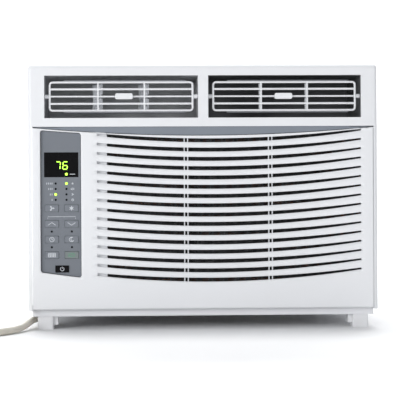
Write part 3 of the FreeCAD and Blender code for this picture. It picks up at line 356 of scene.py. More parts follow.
def plated_steel(name, colour, stretch=(1.0, 1.0, 30.0)):
    """Zinc-plated sheet: rolled grain with blotches."""
    finish = Finish(name, Metallic=1.0)
    finish.tinted(finish.cells(60.0), colour, 0.14)
    finish.roughened(finish.noise(90.0, 4.0, stretch), 0.26, 0.48)
    return finish.raised(finish.noise(300.0, 2.0, stretch), 0.00003, 0.3)


def bare_fins(name, colour):
    """Rolled aluminium fins with faint streaks and lightly bent edges."""
    finish = Finish(name, Metallic=0.9)
    finish.tinted(finish.noise(55.0, 4.0, (1.0, 1.0, 0.15)), colour, 0.16)
    finish.roughened(finish.noise(240.0), 0.3, 0.5)
    return finish.raised(finish.waves(260.0, "Z", 2.0), 0.00008, 0.4)


def drawn_copper(name):
    """Copper tube that has dulled in patches."""
    finish = Finish(name, Metallic=1.0)
    finish.tinted(finish.noise(70.0, 5.0), (0.62, 0.27, 0.14), 0.3)
    finish.roughened(finish.noise(150.0, 4.0), 0.22, 0.46)
    return finish.raised(finish.noise(500.0), 0.00002, 0.3)


def gloss_paint(name, colour):
    """Thick gloss paint on a pressed steel shell."""
    finish = Finish(name, IOR=1.5, Coat_Weight=0.6, Coat_Roughness=0.08)
    finish.tinted(finish.noise(22.0), colour, 0.2)
    finish.roughened(finish.noise(80.0), 0.2, 0.34)
    return finish.raised(finish.noise(130.0, 3.0), 0.00015, 0.3)


def bead_foam(name, colour):
    """Moulded bead foam: rounded cells pressed together."""
    finish = Finish(name, IOR=1.4)
    cells = finish.cells(330.0)
    finish.tinted(cells, colour, 0.05)
    finish.roughened(finish.noise(60.0), 0.72, 0.86)
    return finish.raised(cells, 0.0005, 0.5)


def milky_clear(name):
    """Milky, half see-through plastic with a soft grain."""
    finish = Finish(name, IOR=1.49, Transmission_Weight=0.15)
    finish.tinted(finish.noise(25.0), (0.8, 0.82, 0.86), 0.04)
    finish.roughened(finish.noise(200.0), 0.22, 0.34)
    return finish.raised(finish.noise(700.0), 0.00003, 0.3)


def soft_rubber(name, colour):
    """Moulded rubber with a dull bloom."""
    finish = Finish(name, IOR=1.48)
    finish.tinted(finish.noise(80.0, 4.0), colour, 0.15)
    finish.roughened(finish.noise(160.0), 0.52, 0.7)
    return finish.raised(finish.noise(900.0), 0.00005, 0.4)


def lead_sheath(name, colour):
    """Extruded sheath: a slight satin, and the twist of the cores just showing through."""
    finish = Finish(name, IOR=1.5, Subsurface_Weight=0.08, Subsurface_Scale=0.002)
    finish.tinted(finish.noise(35.0), colour, 0.05)
    finish.roughened(finish.noise(140.0), 0.34, 0.48)
    return finish.raised(finish.noise(260.0, 2.0), 0.0001, 0.3)


def lacquered_board(name):
    """Circuit board: green lacquer over fine copper tracks."""
    finish = Finish(name, IOR=1.5, Coat_Weight=0.5, Coat_Roughness=0.12)
    tracks = finish.waves(110.0, "Z", 6.0)
    finish.tinted(tracks, (0.03, 0.19, 0.075), 0.35)
    finish.roughened(finish.noise(200.0), 0.25, 0.4)
    return finish.raised(tracks, 0.00005, 0.4)


def duct_with_painted_light(name, pale, dark):
    """Duct moulding with painted light: the left channel is painted pale as if lit, the right one dark as if
    in shade.
    """
    finish = Finish(name, IOR=1.45)
    apart = finish.nodes.new("ShaderNodeSeparateXYZ")
    finish.links.new(finish.place, apart.inputs["Vector"])
    # Painted light and shade: the colour runs from pale at the left to dark at the right, across the middle.
    across = finish.nodes.new("ShaderNodeMapRange")
    for socket, edge in (("From Min", -7 * MM), ("From Max", 7 * MM)):
        across.inputs[socket].default_value = edge
    finish.links.new(apart.outputs["X"], across.inputs["Value"])
    mix = finish.nodes.new("ShaderNodeMix")
    mix.data_type = "RGBA"
    mix.inputs["A"].default_value = (*pale, 1)
    mix.inputs["B"].default_value = (*dark, 1)
    finish.links.new(across.outputs["Result"], mix.inputs["Factor"])
    finish.links.new(mix.outputs["Result"], finish.shader.inputs["Base Color"])
    finish.roughened(finish.noise(60.0), 0.6, 0.75)
    return finish.raised(finish.cells(300.0), 0.0002, 0.3)


def woven_net(name):
    """Black polypropylene strands with a nap of dust on them."""
    finish = Finish(name, IOR=1.49)
    finish.tinted(finish.noise(500.0, 4.0), (0.018, 0.018, 0.021), 0.5)
    finish.roughened(finish.noise(120.0), 0.5, 0.75)
    return finish.raised(finish.noise(2500.0), 0.00004, 0.5)


def printed(name, colour):
    """Screen-printed ink: flat, with the grain of the film under it."""
    finish = Finish(name, IOR=1.45)
    finish.tinted(finish.noise(900.0), colour, 0.06)
    finish.roughened(finish.noise(300.0), 0.42, 0.6)
    return finish.raised(finish.noise(1800.0), 0.00002, 0.3)


def lit(name, colour, strength):
    """A lit lens: its light sits on the shader's own sockets."""
    finish = Finish(name, Emission_Color=(*colour, 1), Emission_Strength=strength)
    finish.tinted(finish.noise(400.0), colour, 0.1)
    finish.roughened(finish.noise(300.0), 0.25, 0.4)
    return finish.material


def finish_table(colours):
    """Each material slot of the frame, and the finish that it gets."""
    return {
        "white_plastic": moulded("shell white", colours.shell, 0.42, drift=0.008),
        "grey_trim": moulded("accent grey", colours.accent, 0.36),
        "panel_grey": moulded("control panel grey", colours.deck, 0.38, 1800.0),
        "key_grey": moulded("key grey", [channel * 1.06 for channel in colours.deck], 0.34, 1800.0),
        "key_green": moulded("eco key", (0.17, 0.2, 0.2), 0.34, 1800.0),
        "key_black": smoked("power key", (0.006, 0.006, 0.007)),
        "smoked_window": smoked("smoked window", (0.003, 0.003, 0.004)),
        "lamp_lens": smoked("unlit lamp", (0.01, 0.011, 0.012)),
        # The duct is painted light at the left vent and painted shade at the right vent.
        "duct_grey": duct_with_painted_light("duct grey", (0.55, 0.56, 0.58), (0.14, 0.145, 0.155)),
        "vane_clear": milky_clear("vane plastic"),
        "filter_black": moulded("filter frame", (0.03, 0.03, 0.034), 0.5),
        "box_plastic": moulded("dark moulding", (0.035, 0.035, 0.038), 0.5),
        "foam_white": bead_foam("bead foam", (0.68, 0.68, 0.66)),
        "board_green": lacquered_board("circuit board"),
        "can_metal": plated_steel("capacitor can", (0.6, 0.61, 0.62), (30.0, 30.0, 1.0)),
        "cabinet_paint": powder_coat("cabinet paint", colours.cabinet),
        "zinc_steel": plated_steel("zinc plate", (0.5, 0.52, 0.54)),
        "fin_aluminium": bare_fins("fin aluminium", (0.62, 0.63, 0.64)),
        "black_paint": gloss_paint("compressor black", (0.012, 0.012, 0.013)),
        "copper_pipe": drawn_copper("copper"),
        "rubber_black": soft_rubber("black rubber", (0.02, 0.02, 0.021)),
        "foot_white": moulded("foot white", (0.8, 0.805, 0.82), 0.5),
        "cord_pvc": lead_sheath("lead sheath", colours.lead),
        "plug_plastic": polished("plug moulding", [channel * 0.95 for channel in colours.lead], 0.3),
        "test_key": polished("test key", (0.012, 0.012, 0.014), 0.25),
        "reset_key": polished("reset key", (0.3, 0.012, 0.01), 0.25),
        "blade_brass": plated_steel("plated brass", (0.62, 0.56, 0.42), (1.0, 30.0, 1.0)),
    }


FINISHES = {}


# ---- lead ----------------------------------------------------------------------------------------

# The free stretch from the strain relief to the coil: the points of the frame's own route.
LEAD_ROUTE = [
    (-0.2270, -0.1220, 0.0118),
    (-0.2375, -0.1520, 0.0116),
    (-0.2417, -0.1870, 0.0096),
    (-0.2510, -0.2370, 0.0049),
    (-0.2720, -0.2800, 0.0049),
    (-0.3005, -0.3235, 0.0049),
]
COIL_MIDDLE = (-0.350, -0.282)
COIL_MEAN = 55 * MM
COIL_START = math.radians(-40)
COIL_TURNS = 4 + 7 / 18
COIL_FLOOR = 0.0049
# The part of a turn over which the lead moves in or out by a diameter.
CROSSING = 0.2
# From one layer of the coil up to the next, in diameters.
LAYER = math.sqrt(0.75)


def eased(values, start, end):
    """0 before start, 1 after end, and 3 t squared less 2 t cubed between."""
    share = np.clip((values - start) / (end - start), 0, 1)
    return share * share * (3 - 2 * share)


def coil_points(diameter, turn_points):
    """Turns beside each other on the floor, then one and a part on top, as control points.

    In each turn the radius holds, and over the last fifth it moves in by a diameter. The fourth turn
    lies in the valley between two turns below, and the rest in the next valley out.
    """
    turned = np.arange(1, round(COIL_TURNS * turn_points)) / turn_points
    moved_in = eased(turned, 1 - CROSSING, 1) + eased(turned, 2 - CROSSING, 2)
    radius = COIL_MEAN + diameter - diameter * moved_in
    radius += diameter / 2 * eased(turned, 3 - CROSSING, 3) + diameter * eased(turned, 4 - CROSSING, 4)
    radius /= math.cos(math.pi / turn_points) ** 0.5
    height = COIL_FLOOR + LAYER * diameter * eased(turned, 2.6, 2.84)
    hump = 0.14 * diameter
    height += hump * eased(turned, 2.7, 2.86) * (1 - eased(turned, 2.94, 3.1))
    height += hump * eased(turned, 3.75, 3.86) * (1 - eased(turned, 3.94, 4.05))
    angle = COIL_START - 2 * math.pi * turned
    return np.stack(
        [COIL_MIDDLE[0] + radius * np.cos(angle), COIL_MIDDLE[1] + radius * np.sin(angle), height], axis=-1
    )


class AIRCON_OT_lead(bpy.types.Operator):
    """Makes the mains lead as one smooth curve, and the ribs of its strain relief."""

    bl_idname = "aircon.lead"
    bl_label = "Mains lead"

    def execute(self, context):
        size = context.scene.aircon_lead
        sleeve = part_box("plug_body")
        last_x = COIL_MIDDLE[0] - COIL_MEAN - size.diameter / 2
        last = np.array([last_x, COIL_MIDDLE[1], COIL_FLOOR + LAYER * size.diameter])
        end = np.array([last[0], sleeve[0].y + 0.001, last[2]])
        run = last + (end - last) * np.array([[0.0], [0.35], [0.7], [1.0]])
        points = np.vstack([LEAD_ROUTE, coil_points(size.diameter, size.turn_points), run])
        curve = bpy.data.curves.new("mains_lead", "CURVE")
        curve.dimensions = "3D"
        spline = curve.splines.new("NURBS")
        spline.points.add(len(points) - 1)
        spline.points.foreach_set("co", np.hstack([points, np.ones((len(points), 1))]).ravel())
        spline.order_u = 3
        spline.use_endpoint_u = True
        spline.resolution_u = 5
        curve.bevel_depth = size.diameter / 2
        curve.bevel_resolution = 4
        curve.use_fill_caps = True
        lead = placed("mains_lead", curve)
        curve.materials.append(FINISHES["cord_pvc"])
        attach(lead, "chassis")
        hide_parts("power_cord", "cord_coil")
        ribs = self.gland_ribs(size)
        return {"FINISHED"}

    def gland_ribs(self, size):
        """Rings round the strain relief's nose: a tube whose radius follows the nose, ribbed by a cosine."""
        tip = np.array(LEAD_ROUTE[0])
        heading = unit(np.array(LEAD_ROUTE[1]) - tip)
        along = np.linspace(0, 1, 61)
        nose = 22 * MM
        wide_end = 5.75 * MM
        narrow_end = size.diameter / 2 + 0.5 * MM
        ribs = 6
        path = tip + heading * (along[:, None] * nose - nose + 0.5 * MM)
        taper = wide_end + (narrow_end - wide_end) * along
        ridge = 0.4 * MM * (0.5 - 0.5 * np.cos(2 * math.pi * ribs * along))
        shape = tube(path, taper + ridge, 28)
        return piece("gland_ribs", shape, FINISHES["cord_pvc"], "chassis")


# ---- stage ---------------------------------------------------------------------------------------

def area_light(name, place, aim, size, power):
    lamp = bpy.data.lights.new(name, "AREA")
    lamp.shape = "RECTANGLE"
    lamp.size, lamp.size_y = size
    lamp.energy = power
    holder = placed(name, lamp)
    holder.location = place
    holder.rotation_euler = (Vector(aim) - Vector(place)).to_track_quat("-Z", "Y").to_euler()


class AIRCON_OT_stage(bpy.types.Operator):
    """Sets the pale floor, the soft lights and the camera."""

    bl_idname = "aircon.stage"
    bl_label = "Stage"

    def execute(self, context):
        scene = context.scene
        size = scene.aircon_stage
        self.floor()
        world = bpy.data.worlds.new("room")
        world.use_nodes = True
        room = world.node_tree.nodes["Background"].inputs
        room["Color"].default_value = (0.965, 0.975, 1.0, 1)
        room["Strength"].default_value = 0.5
        scene.world = world
        scene.view_settings.view_transform = "Standard"
        area_light("key", (-1.9, -2.3, 0.7), (0, 0, 0.2), (1.2, 0.7), 28)
        area_light("fill", (0.1, -3.0, 0.5), (0, 0, 0.2), (1.2, 0.8), 5)
        area_light("top", (-0.1, 0.42, 2.3), (-0.1, -0.15, 0.0), (1.8, 0.8), 34)
        area_light("wall", (0.0, 3.0, 2.8), (0, 3.9, 0.2), (4.0, 1.4), 190)
        data = bpy.data.cameras.new("camera")
        data.lens = size.lens
        data.sensor_width = 36
        aim = Vector((size.aim_x, FRONT, size.aim_z))
        eye = aim + size.distance * Vector((-math.sin(size.turn), -math.cos(size.turn), 0))
        eye.z = size.eye
        camera = placed("camera", data)
        camera.location = eye
        camera.rotation_euler = (aim - eye).to_track_quat("-Z", "Y").to_euler()
        camera.rotation_euler.rotate_axis("Z", size.roll)
        scene.camera = camera
        return {"FINISHED"}

    def floor(self):
        """A sweep: floor, a quarter circle, and a wall, as one profile carried across."""
        near, back, half_wide, wall_top = -4.5, 3.9, 5.0, 3.2
        radius = 0.7
        bend = np.linspace(0, math.pi / 2, 17)[1:]
        depth = np.concatenate([np.linspace(near, back, 9), back + radius * np.sin(bend), [back + radius]])
        height = np.concatenate([np.zeros(9), radius * (1 - np.cos(bend)), [wall_top]])
        across, depths = np.meshgrid(np.linspace(-half_wide, half_wide, 5), depth)
        heights = np.broadcast_to(height[:, None], depths.shape)
        points = np.stack([across, depths, heights], axis=-1).reshape(-1, 3)
        mesh = bpy.data.meshes.new("floor")
        mesh.from_pydata(points.tolist(), [], grid_quads(len(depth), 5).tolist())
        mesh.shade_smooth()
        floor = placed("floor", mesh)
        floor.data.materials.append(moulded("studio paper", (0.92, 0.925, 0.93), 0.7, drift=0.003))


# ---- door ----------------------------------------------------------------------------------------

DOOR_HALF = 235.4 * MM
DOOR_TOP_MIDDLE = 266.9 * MM
# The cut-out for the controls: its sides, the heights of its slanted edges at the left and the right
# side, and the radius of its corners.
DECK_LEFT = -224.4 * MM
DECK_RIGHT = -168.6 * MM
DECK_BOTTOM = (79.5 * MM, 72 * MM)
DECK_TOP = (275 * MM, 271 * MM)
DECK_CORNER = 3.4 * MM
# Width of the finer grid round the cut-out, at its sides and below it, and above it.
RING = 4.3 * MM
RING_ABOVE = 0.7 * MM
# Radii of the door's edges: sides, top, lower front, lower back, and the cut-out's rim.
SIDE_EDGE = 1 * MM
TOP_EDGE = 0.5 * MM
TOE = 2.5 * MM
HEEL = 3.5 * MM
RIM = 0.7 * MM
# The blind grooves beside the slots.
GROOVE_DEPTH = 6 * MM
GROOVE_END = 0.8 * MM
# The double ribs: their middles, a rib from its pair's middle, and half a rib's thickness.
RIB_MIDDLES = (-24 * MM, 92.6 * MM)
RIB_OFF = 2.35 * MM
RIB_HALF = 0.6 * MM
# The hinge line: behind the front, above the floor.
HINGE_Y = -0.192
HINGE_Z = 0.033


def deck_lines(x):
    """Heights of the control cut-out's slanted bottom and top edges at x."""
    across = (x - DECK_LEFT) / (DECK_RIGHT - DECK_LEFT)
    return tuple(left + (right - left) * across for left, right in (DECK_BOTTOM, DECK_TOP))


def rounding(radius, steps=4):
    """Distances in from an edge and back from the front along a quarter circle."""
    angle = np.linspace(0, math.pi / 2, steps + 1)
    return radius * (1 - np.cos(angle)), radius * (1 - np.sin(angle))


class Door:
    """The grille's front skin as depth and height over a grid of columns and rows."""

    def __init__(self, size):
        self.size = size
        low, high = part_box("intake_grille")
        self.low_z = low.z
        self.back = high.y
        self.top_sides = high.z
        self.make_columns()
        self.make_rows()

    def make_columns(self):
        size = self.size
        inward, fall = rounding(SIDE_EDGE)
        left = -DOOR_HALF + inward
        right = DOOR_HALF - inward[::-1]
        grooves = size.slot_left - size.groove
        parts = [
            ("skirt", [-DOOR_HALF]),
            ("plain", left),
            ("ring", np.linspace(DECK_LEFT - RING, DECK_RIGHT + RING, 29)),
            ("plain", np.linspace(DECK_RIGHT + RING, grooves, 5)[1:-1]),
            ("groove", grooves + GROOVE_END * np.array([0, 0.5, 1])),
            ("groove", np.linspace(grooves + GROOVE_END, size.slot_left, 8)[1:]),
            ("slot", np.linspace(size.slot_left, size.slot_right, 91)),
            ("plain", np.linspace(size.slot_right, right[0], 6)[:-1]),
            ("plain", right),
            ("skirt", [DOOR_HALF]),
        ]
        self.x = np.concatenate([values for kind, values in parts])
        self.kind = np.concatenate([[kind] * len(values) for kind, values in parts])
        self.side_fall = np.zeros(len(self.x))
        self.side_fall[1:1 + len(fall)] = fall
        self.side_fall[-1 - len(fall):-1] = fall[::-1]

    def arc(self, x, radius):
        return (x - self.size.lowest) ** 2 / (2 * radius)

    def make_rows(self):
        """Row by row: height and depth. Between the slots' outer edges each row follows its slot's arcs;
        beside the controls it is spread evenly between the cut-out's two slanted lines. The lower back
        edge is rounded, so that it passes the base pan as the grille tilts."""
        size = self.size
        x = self.x
        top = DOOR_TOP_MIDDLE + (self.top_sides - DOOR_TOP_MIDDLE) * (x / DOOR_HALF) ** 2
        first_edge = size.first_slot + size.slot_height / 2 + self.arc(x, size.upper_arc)
        last_middle = size.first_slot - (size.slots - 1) * size.pitch
        last_edge = last_middle - size.slot_height / 2 + self.arc(x, size.lower_arc)
        grooves = size.slot_left - size.groove
        beside = 1 - eased(x, DECK_RIGHT + RING, grooves)
        deck_low, deck_high = deck_lines(x)
        low_line = last_edge + (deck_low - RING - last_edge) * beside
        high_line = first_edge + (deck_high + RING_ABOVE - first_edge) * beside
        field = eased(x, grooves - 3 * MM, grooves)
        field *= 1 - eased(x, size.slot_right, size.slot_right + 3 * MM)
        through = np.where(self.kind == "slot", size.slat_depth, 0)
        sunk = GROOVE_DEPTH * eased(x, grooves, grooves + GROOVE_END)
        through = np.where(self.kind == "groove", sunk, through)
        heights, depths, slot_row = [], [], []

        def add(z, depth, hole=False):
            heights.append(np.broadcast_to(z, len(x)))
            depths.append(np.broadcast_to(depth, len(x)))
            slot_row.append(hole)

        deep = self.back - FRONT
        for inward, rise in zip(*rounding(HEEL)):
            add(self.low_z + rise, deep - inward)
        self.heel_rows = len(heights)
        low_in, low_fall = rounding(TOE)
        for inward, fall in zip(low_in, low_fall):
            add(self.low_z + inward, fall)
        start = self.low_z + low_in[-1]
        for share in (0.25, 0.5, 0.75):
            add(start + (low_line - 3 * MM - start) * share, 0)
        for reach in (3.0, 1.8, 0.9, 0.4):
            add(low_line - reach * MM, size.crown * (1 - reach / 3) ** 2 * field)
        self.first_row = len(heights)

        def at(z):
            """A slot-field height, moved between the cut-out's lines beside the controls."""
            share = (z - last_edge) / (first_edge - last_edge)
            return low_line + (high_line - low_line) * share

        for number in range(size.slots):
            middle = last_middle + number * size.pitch
            lower = at(middle - size.slot_height / 2 + self.arc(x, size.lower_arc))
            upper = at(middle + size.slot_height / 2 + self.arc(x, size.upper_arc))
            edge = size.crown * field
            add(lower, edge)
            add(lower, edge + through, True)
            add(upper, edge + through)
            add(upper, edge)
            if number < size.slots - 1:
                following = at(middle + size.pitch - size.slot_height / 2 + self.arc(x, size.lower_arc))
                for share in (0.06, 0.16, 0.32, 0.5, 0.68, 0.84, 0.94):
                    crown = abs(2 * share - 1) ** 2.4
                    add(upper + (following - upper) * share, edge * crown)
        self.last_row = len(heights) - 1
        top_in, top_fall = rounding(TOP_EDGE)
        for share in np.array([0.4, 0.9, 1.6]) / 2.4:
            add(high_line + (top - top_in[-1] - high_line) * share, size.crown * (1 - share) ** 2 * field)
        for inward, fall in zip(top_in[::-1], top_fall[::-1]):
            add(top - inward, fall)
        add(top, deep)
        self.z = np.array(heights)
        low_share = np.clip(1 - (self.z - self.low_z) / HEEL, 0, 1)
        deepest = deep - HEEL * (1 - np.sqrt(1 - low_share ** 2))
        depth = np.array(depths) + self.side_fall[None]
        self.y = FRONT + np.where(self.kind == "skirt", deepest, np.minimum(depth, deepest))
        self.hole_row = np.array(slot_row)

    def shape(self):
        """The skin with its slots left out, and the rounded control cut-out."""
        rows, columns = self.z.shape
        across = np.broadcast_to(self.x[None], self.z.shape)
        points = np.stack([across, self.y, self.z], axis=-1).reshape(-1, 3)
        quads = grid_quads(rows, columns).reshape(rows - 1, columns - 1, 4)
        keep = np.ones((rows - 1, columns - 1), bool)
        slot = self.kind == "slot"
        keep[np.ix_(self.hole_row[:-1], slot[:-1] & slot[1:])] = False
        ring = np.flatnonzero(self.kind == "ring")
        keep[self.first_row:self.last_row, ring[0]:ring[-1]] = False
        keep[:self.heel_rows, [0, -1]] = False
        skin = (points, quads[keep].tolist())
        return merged(self.with_cut_out(skin, ring, columns))

    def with_cut_out(self, skin, ring, columns):
        """Closes the square hole around the controls down to a rounded outline, and turns its edge back.

        A point of the hole's rim goes to the nearest point of a smaller box, plus the corner radius
        along the line between them. The box's height is then sheared between the two slanted edges.
        """
        points, faces = skin
        low, high = self.first_row, self.last_row
        left, right = ring[0], ring[-1]
        loop = np.concatenate([
            low * columns + np.arange(left, right),
            np.arange(low, high) * columns + right,
            high * columns + np.arange(right, left, -1),
            np.arange(high, low, -1) * columns + left,
        ])
        rim = points[loop]
        floor, ceiling = deck_lines(rim[:, 0])
        tall = ceiling - floor
        nominal = 194 * MM
        flat = np.stack([rim[:, 0], (rim[:, 2] - floor) / tall * nominal], axis=-1)
        core_low = np.array([DECK_LEFT + DECK_CORNER, DECK_CORNER])
        core_high = np.array([DECK_RIGHT - DECK_CORNER, nominal - DECK_CORNER])
        nearest = np.clip(flat, core_low, core_high)
        outline = nearest + unit(flat - nearest) * DECK_CORNER
        floor, ceiling = deck_lines(outline[:, 0])
        edge_z = floor + outline[:, 1] / nominal * (ceiling - floor)
        start = len(points)
        loops = [loop]
        new_points = [points]
        inward, fall = rounding(RIM, 2)
        for distance, drop in [*zip(inward[::-1], fall[::-1]), (0.0, self.back - FRONT - 2 * MM)]:
            middle_x = np.clip(outline[:, 0], core_low[0], core_high[0])
            middle_z = np.clip(edge_z, floor + DECK_CORNER, ceiling - DECK_CORNER)
            out = unit(np.stack([outline[:, 0] - middle_x, edge_z - middle_z], axis=-1) + 1e-9)
            across = outline[:, 0] + out[:, 0] * distance
            level = np.full(len(loop), FRONT + drop)
            new_points.append(np.stack([across, level, edge_z + out[:, 1] * distance], axis=-1))
            loops.append(start + np.arange(len(loop)))
            start += len(loop)
        for outer, inner in zip(loops[:-1], loops[1:]):
            strip = np.stack([outer, np.roll(outer, -1), np.roll(inner, -1), inner], axis=-1)
            faces = faces + strip.tolist()
        return np.vstack(new_points), faces


class AIRCON_OT_door(bpy.types.Operator):
    """Makes the tilting grille with crowned slats, blind grooves and the control cut-out."""

    bl_idname = "aircon.door"
    bl_label = "Intake door"

    def execute(self, context):
        size = context.scene.aircon_door
        made = piece(
            "intake_door", Door(size).shape(), FINISHES["white_plastic"], "grille",
            ["intake_grille"], outward=False,
        )
        thick = made.modifiers.new("wall", "SOLIDIFY")
        thick.thickness = size.wall
        thick.offset = -1
        self.ribs()
        return {"FINISHED"}

    def ribs(self):
        """Two double ribs behind the slats, and the hinge pins."""
        lows, highs = [], []
        for middle in RIB_MIDDLES:
            for side in (-1, 1):
                x = middle + side * RIB_OFF
                lows.append((x - RIB_HALF, -199 * MM, 62 * MM))
                highs.append((x + RIB_HALF, -190.3 * MM, 266 * MM))
        pins = []
        for side in (-1, 1):
            start, end = ((side * x, HINGE_Y, HINGE_Z) for x in (229 * MM, 240.3 * MM))
            pins.append(rod(start, end, 2 * MM, 20))
        shape = merged(slabs(lows, highs), *pins)
        piece("door_ribs", shape, FINISHES["white_plastic"], "grille")


# ---- louvres -------------------------------------------------------------------------------------

def rounded_frame(half_wide, half_tall, radius, steps=6):
    """A closed rectangle whose corners are quarter circles, as x and z about the middle."""
    corners = []
    for number, (side, level) in enumerate(((1, 1), (-1, 1), (-1, -1), (1, -1))):
        angle = np.linspace(0, math.pi / 2, steps) + number * math.pi / 2
        centre = np.array([side * (half_wide - radius), level * (half_tall - radius)])
        corners.append(centre + radius * np.stack([np.cos(angle), np.sin(angle)], axis=-1))
    return np.vstack(corners)


class AIRCON_OT_louvres(bpy.types.Operator):
    """Makes both louvre frames: a bent frame with its bars, arms and pivots, and the rails for the vanes."""

    bl_idname = "aircon.louvres"
    bl_label = "Louvres"

    def execute(self, context):
        size = context.scene.aircon_louvres
        # Painted shade: the rails are coloured mid grey for the shade they sit in behind the louvre frame.
        grey = moulded("rail grey", (0.26, 0.27, 0.3), 0.45)
        for side, sign in (("left", -1), ("right", 1)):
            middle = sign * size.middle
            body = f"louver_{side}_frame"
            piece(f"louver_bars_{side}", self.frame(size, middle), FINISHES["white_plastic"],
                  body, [f"louver_{side}"])
            piece(f"louver_rails_{side}", self.rails(size, middle), grey, body)
        return {"FINISHED"}

    def frame(self, size, middle):
        bar = size.bar
        level = AXIS_Y - 2.5 * MM
        half_wide = size.wide / 2 - bar
        half_tall = 19.5 * MM
        loop = rounded_frame(half_wide, half_tall, 4 * MM)
        path = np.stack([middle + loop[:, 0], np.full(len(loop), level), AXIS_Z + loop[:, 1]], axis=-1)
        parts = [tube(path, bar, 14, closed=True, up=(0, 1, 0))]
        for high, radius in ((-10 * MM, bar), (0, 0.8 * bar), (10 * MM, bar)):
            left, right = ((middle + end, level, AXIS_Z + high) for end in (-half_wide, half_wide))
            parts.append(rod(left, right, radius, 14))
        for place in (-size.vanes_apart, size.vanes_apart):
            low, high = ((middle + place, level, AXIS_Z + end) for end in (-half_tall, half_tall))
            parts.append(rod(low, high, 0.87 * bar, 14, up=(0, 1, 0)))
        for sign in (-1, 1):
            inner = middle + sign * half_wide
            low = (inner - 1.2 * MM, level, AXIS_Z - 3 * MM)
            parts.append(slabs(low, (inner + 1.2 * MM, AXIS_Y + 3 * MM, AXIS_Z + 3 * MM)))
            for reach, radius in ((6.7 * MM, 3 * MM), (8.3 * MM, 1.5 * MM)):
                start, end = ((inner + out, AXIS_Y, AXIS_Z) for out in (0, sign * reach))
                parts.append(rod(start, end, radius, 20))
        return merged(*parts)

    def rails(self, size, middle):
        """Two rails with a square hole for each vane's pivot."""
        hole = 1.1 * MM
        pivot_y = AXIS_Y + 13 * MM
        ends = size.vanes_apart
        left, right = -79 * MM, 89 * MM
        strips = [
            (left, right, AXIS_Y - 0.6 * MM, pivot_y - hole),
            (left, right, pivot_y + hole, pivot_y + 3 * MM),
        ]
        for start, end in ((left, -ends - hole), (-ends + hole, ends - hole), (ends + hole, right)):
            strips.append((start, end, pivot_y - hole, pivot_y + hole))
        thick = 3.4 * MM
        lows, highs = [], []
        for bottom in (19 * MM, -19 * MM - thick):
            for start, end, near, far in strips:
                lows.append((middle + start, near, AXIS_Z + bottom))
                highs.append((middle + end, far, AXIS_Z + bottom + thick))
        return slabs(lows, highs)


# ---- filter net and finned coils -----------------------------------------------------------------

class AIRCON_OT_filter(bpy.types.Operator):
    """Makes the filter's net from two layers of crossing strands."""

    bl_idname = "aircon.filter"
    bl_label = "Filter net"

    def execute(self, context):
        size = context.scene.aircon_coils
        low, high = (np.array(corner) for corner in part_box("filter_mesh"))
        half = size.strand / 2
        across = np.arange(low[0] + half, high[0], size.net_pitch)
        upward = np.arange(low[2] + half, high[2], size.net_pitch)
        middle = (low[1] + high[1]) / 2
        uprights = slabs(
            [(x - half, low[1], low[2]) for x in across], [(x + half, middle, high[2]) for x in across]
        )
        levels = slabs(
            [(low[0], middle, z - half) for z in upward], [(high[0], high[1], z + half) for z in upward]
        )
        piece("filter_net", merged(uprights, levels), woven_net("net strands"), "grille",
              ["filter_mesh"], outward=False)
        return {"FINISHED"}


# A half ring at a coil's end joins two tubes, each this far from its middle.
BEND = 9.5 * MM
# Thickness of a coil's end plate.
PLATE = 1 * MM


def fin_stack(low, high, pitch, thickness, ripples):
    """Thin fins across the coil. Each is a closed strip whose front and back edges are a fine zigzag."""
    xs = np.arange(low[0] + PLATE, high[0] - PLATE, pitch)
    steps = 2 * ripples + 1
    z = np.linspace(low[2], high[2], steps)
    zigzag = 0.7 * MM * (np.arange(steps) % 2)
    front = low[1] + zigzag
    back = high[1] - zigzag
    outline = np.concatenate([np.stack([front, z], -1), np.stack([back, z], -1)[::-1]])
    count = len(outline)
    sides = np.stack([xs - thickness / 2, xs + thickness / 2], axis=-1)
    points = np.empty((len(xs), 2, count, 3))
    points[..., 0] = sides[:, :, None]
    points[..., 1] = outline[None, None, :, 0]
    points[..., 2] = outline[None, None, :, 1]
    ahead = np.arange(count)
    after = (ahead + 1) % count
    rim = np.stack([ahead, after, after + count, ahead + count], axis=-1)
    strip = np.arange(steps - 1)
    near = np.stack([strip, count - 1 - strip, count - 2 - strip, strip + 1], axis=-1)
    far = near[:, ::-1] + count
    one = np.vstack([rim, near, far])
    faces = one[None] + (2 * count) * np.arange(len(xs))[:, None, None]
    return points.reshape(-1, 3), faces.reshape(-1, 4).tolist()


def return_bends(low_x, high_x, rows, heights, radius):
    """Half rings at both ends of the coil: a tube carried along half a circle."""
    angle = np.linspace(-math.pi / 2, math.pi / 2, 13)
    parts = []
    for row in rows:
        for height in heights:
            for x, side in ((low_x, -1), (high_x, 1)):
                out = x + side * BEND * np.cos(angle)
                path = np.stack([out, np.full(13, row), height + BEND * np.sin(angle)], axis=-1)
                inner = x - side * 3 * MM
                path = np.vstack([(inner, row, height - BEND), path, (inner, row, height + BEND)])
                parts.append(tube(path, radius, 10, up=(0, 1, 0)))
    return parts


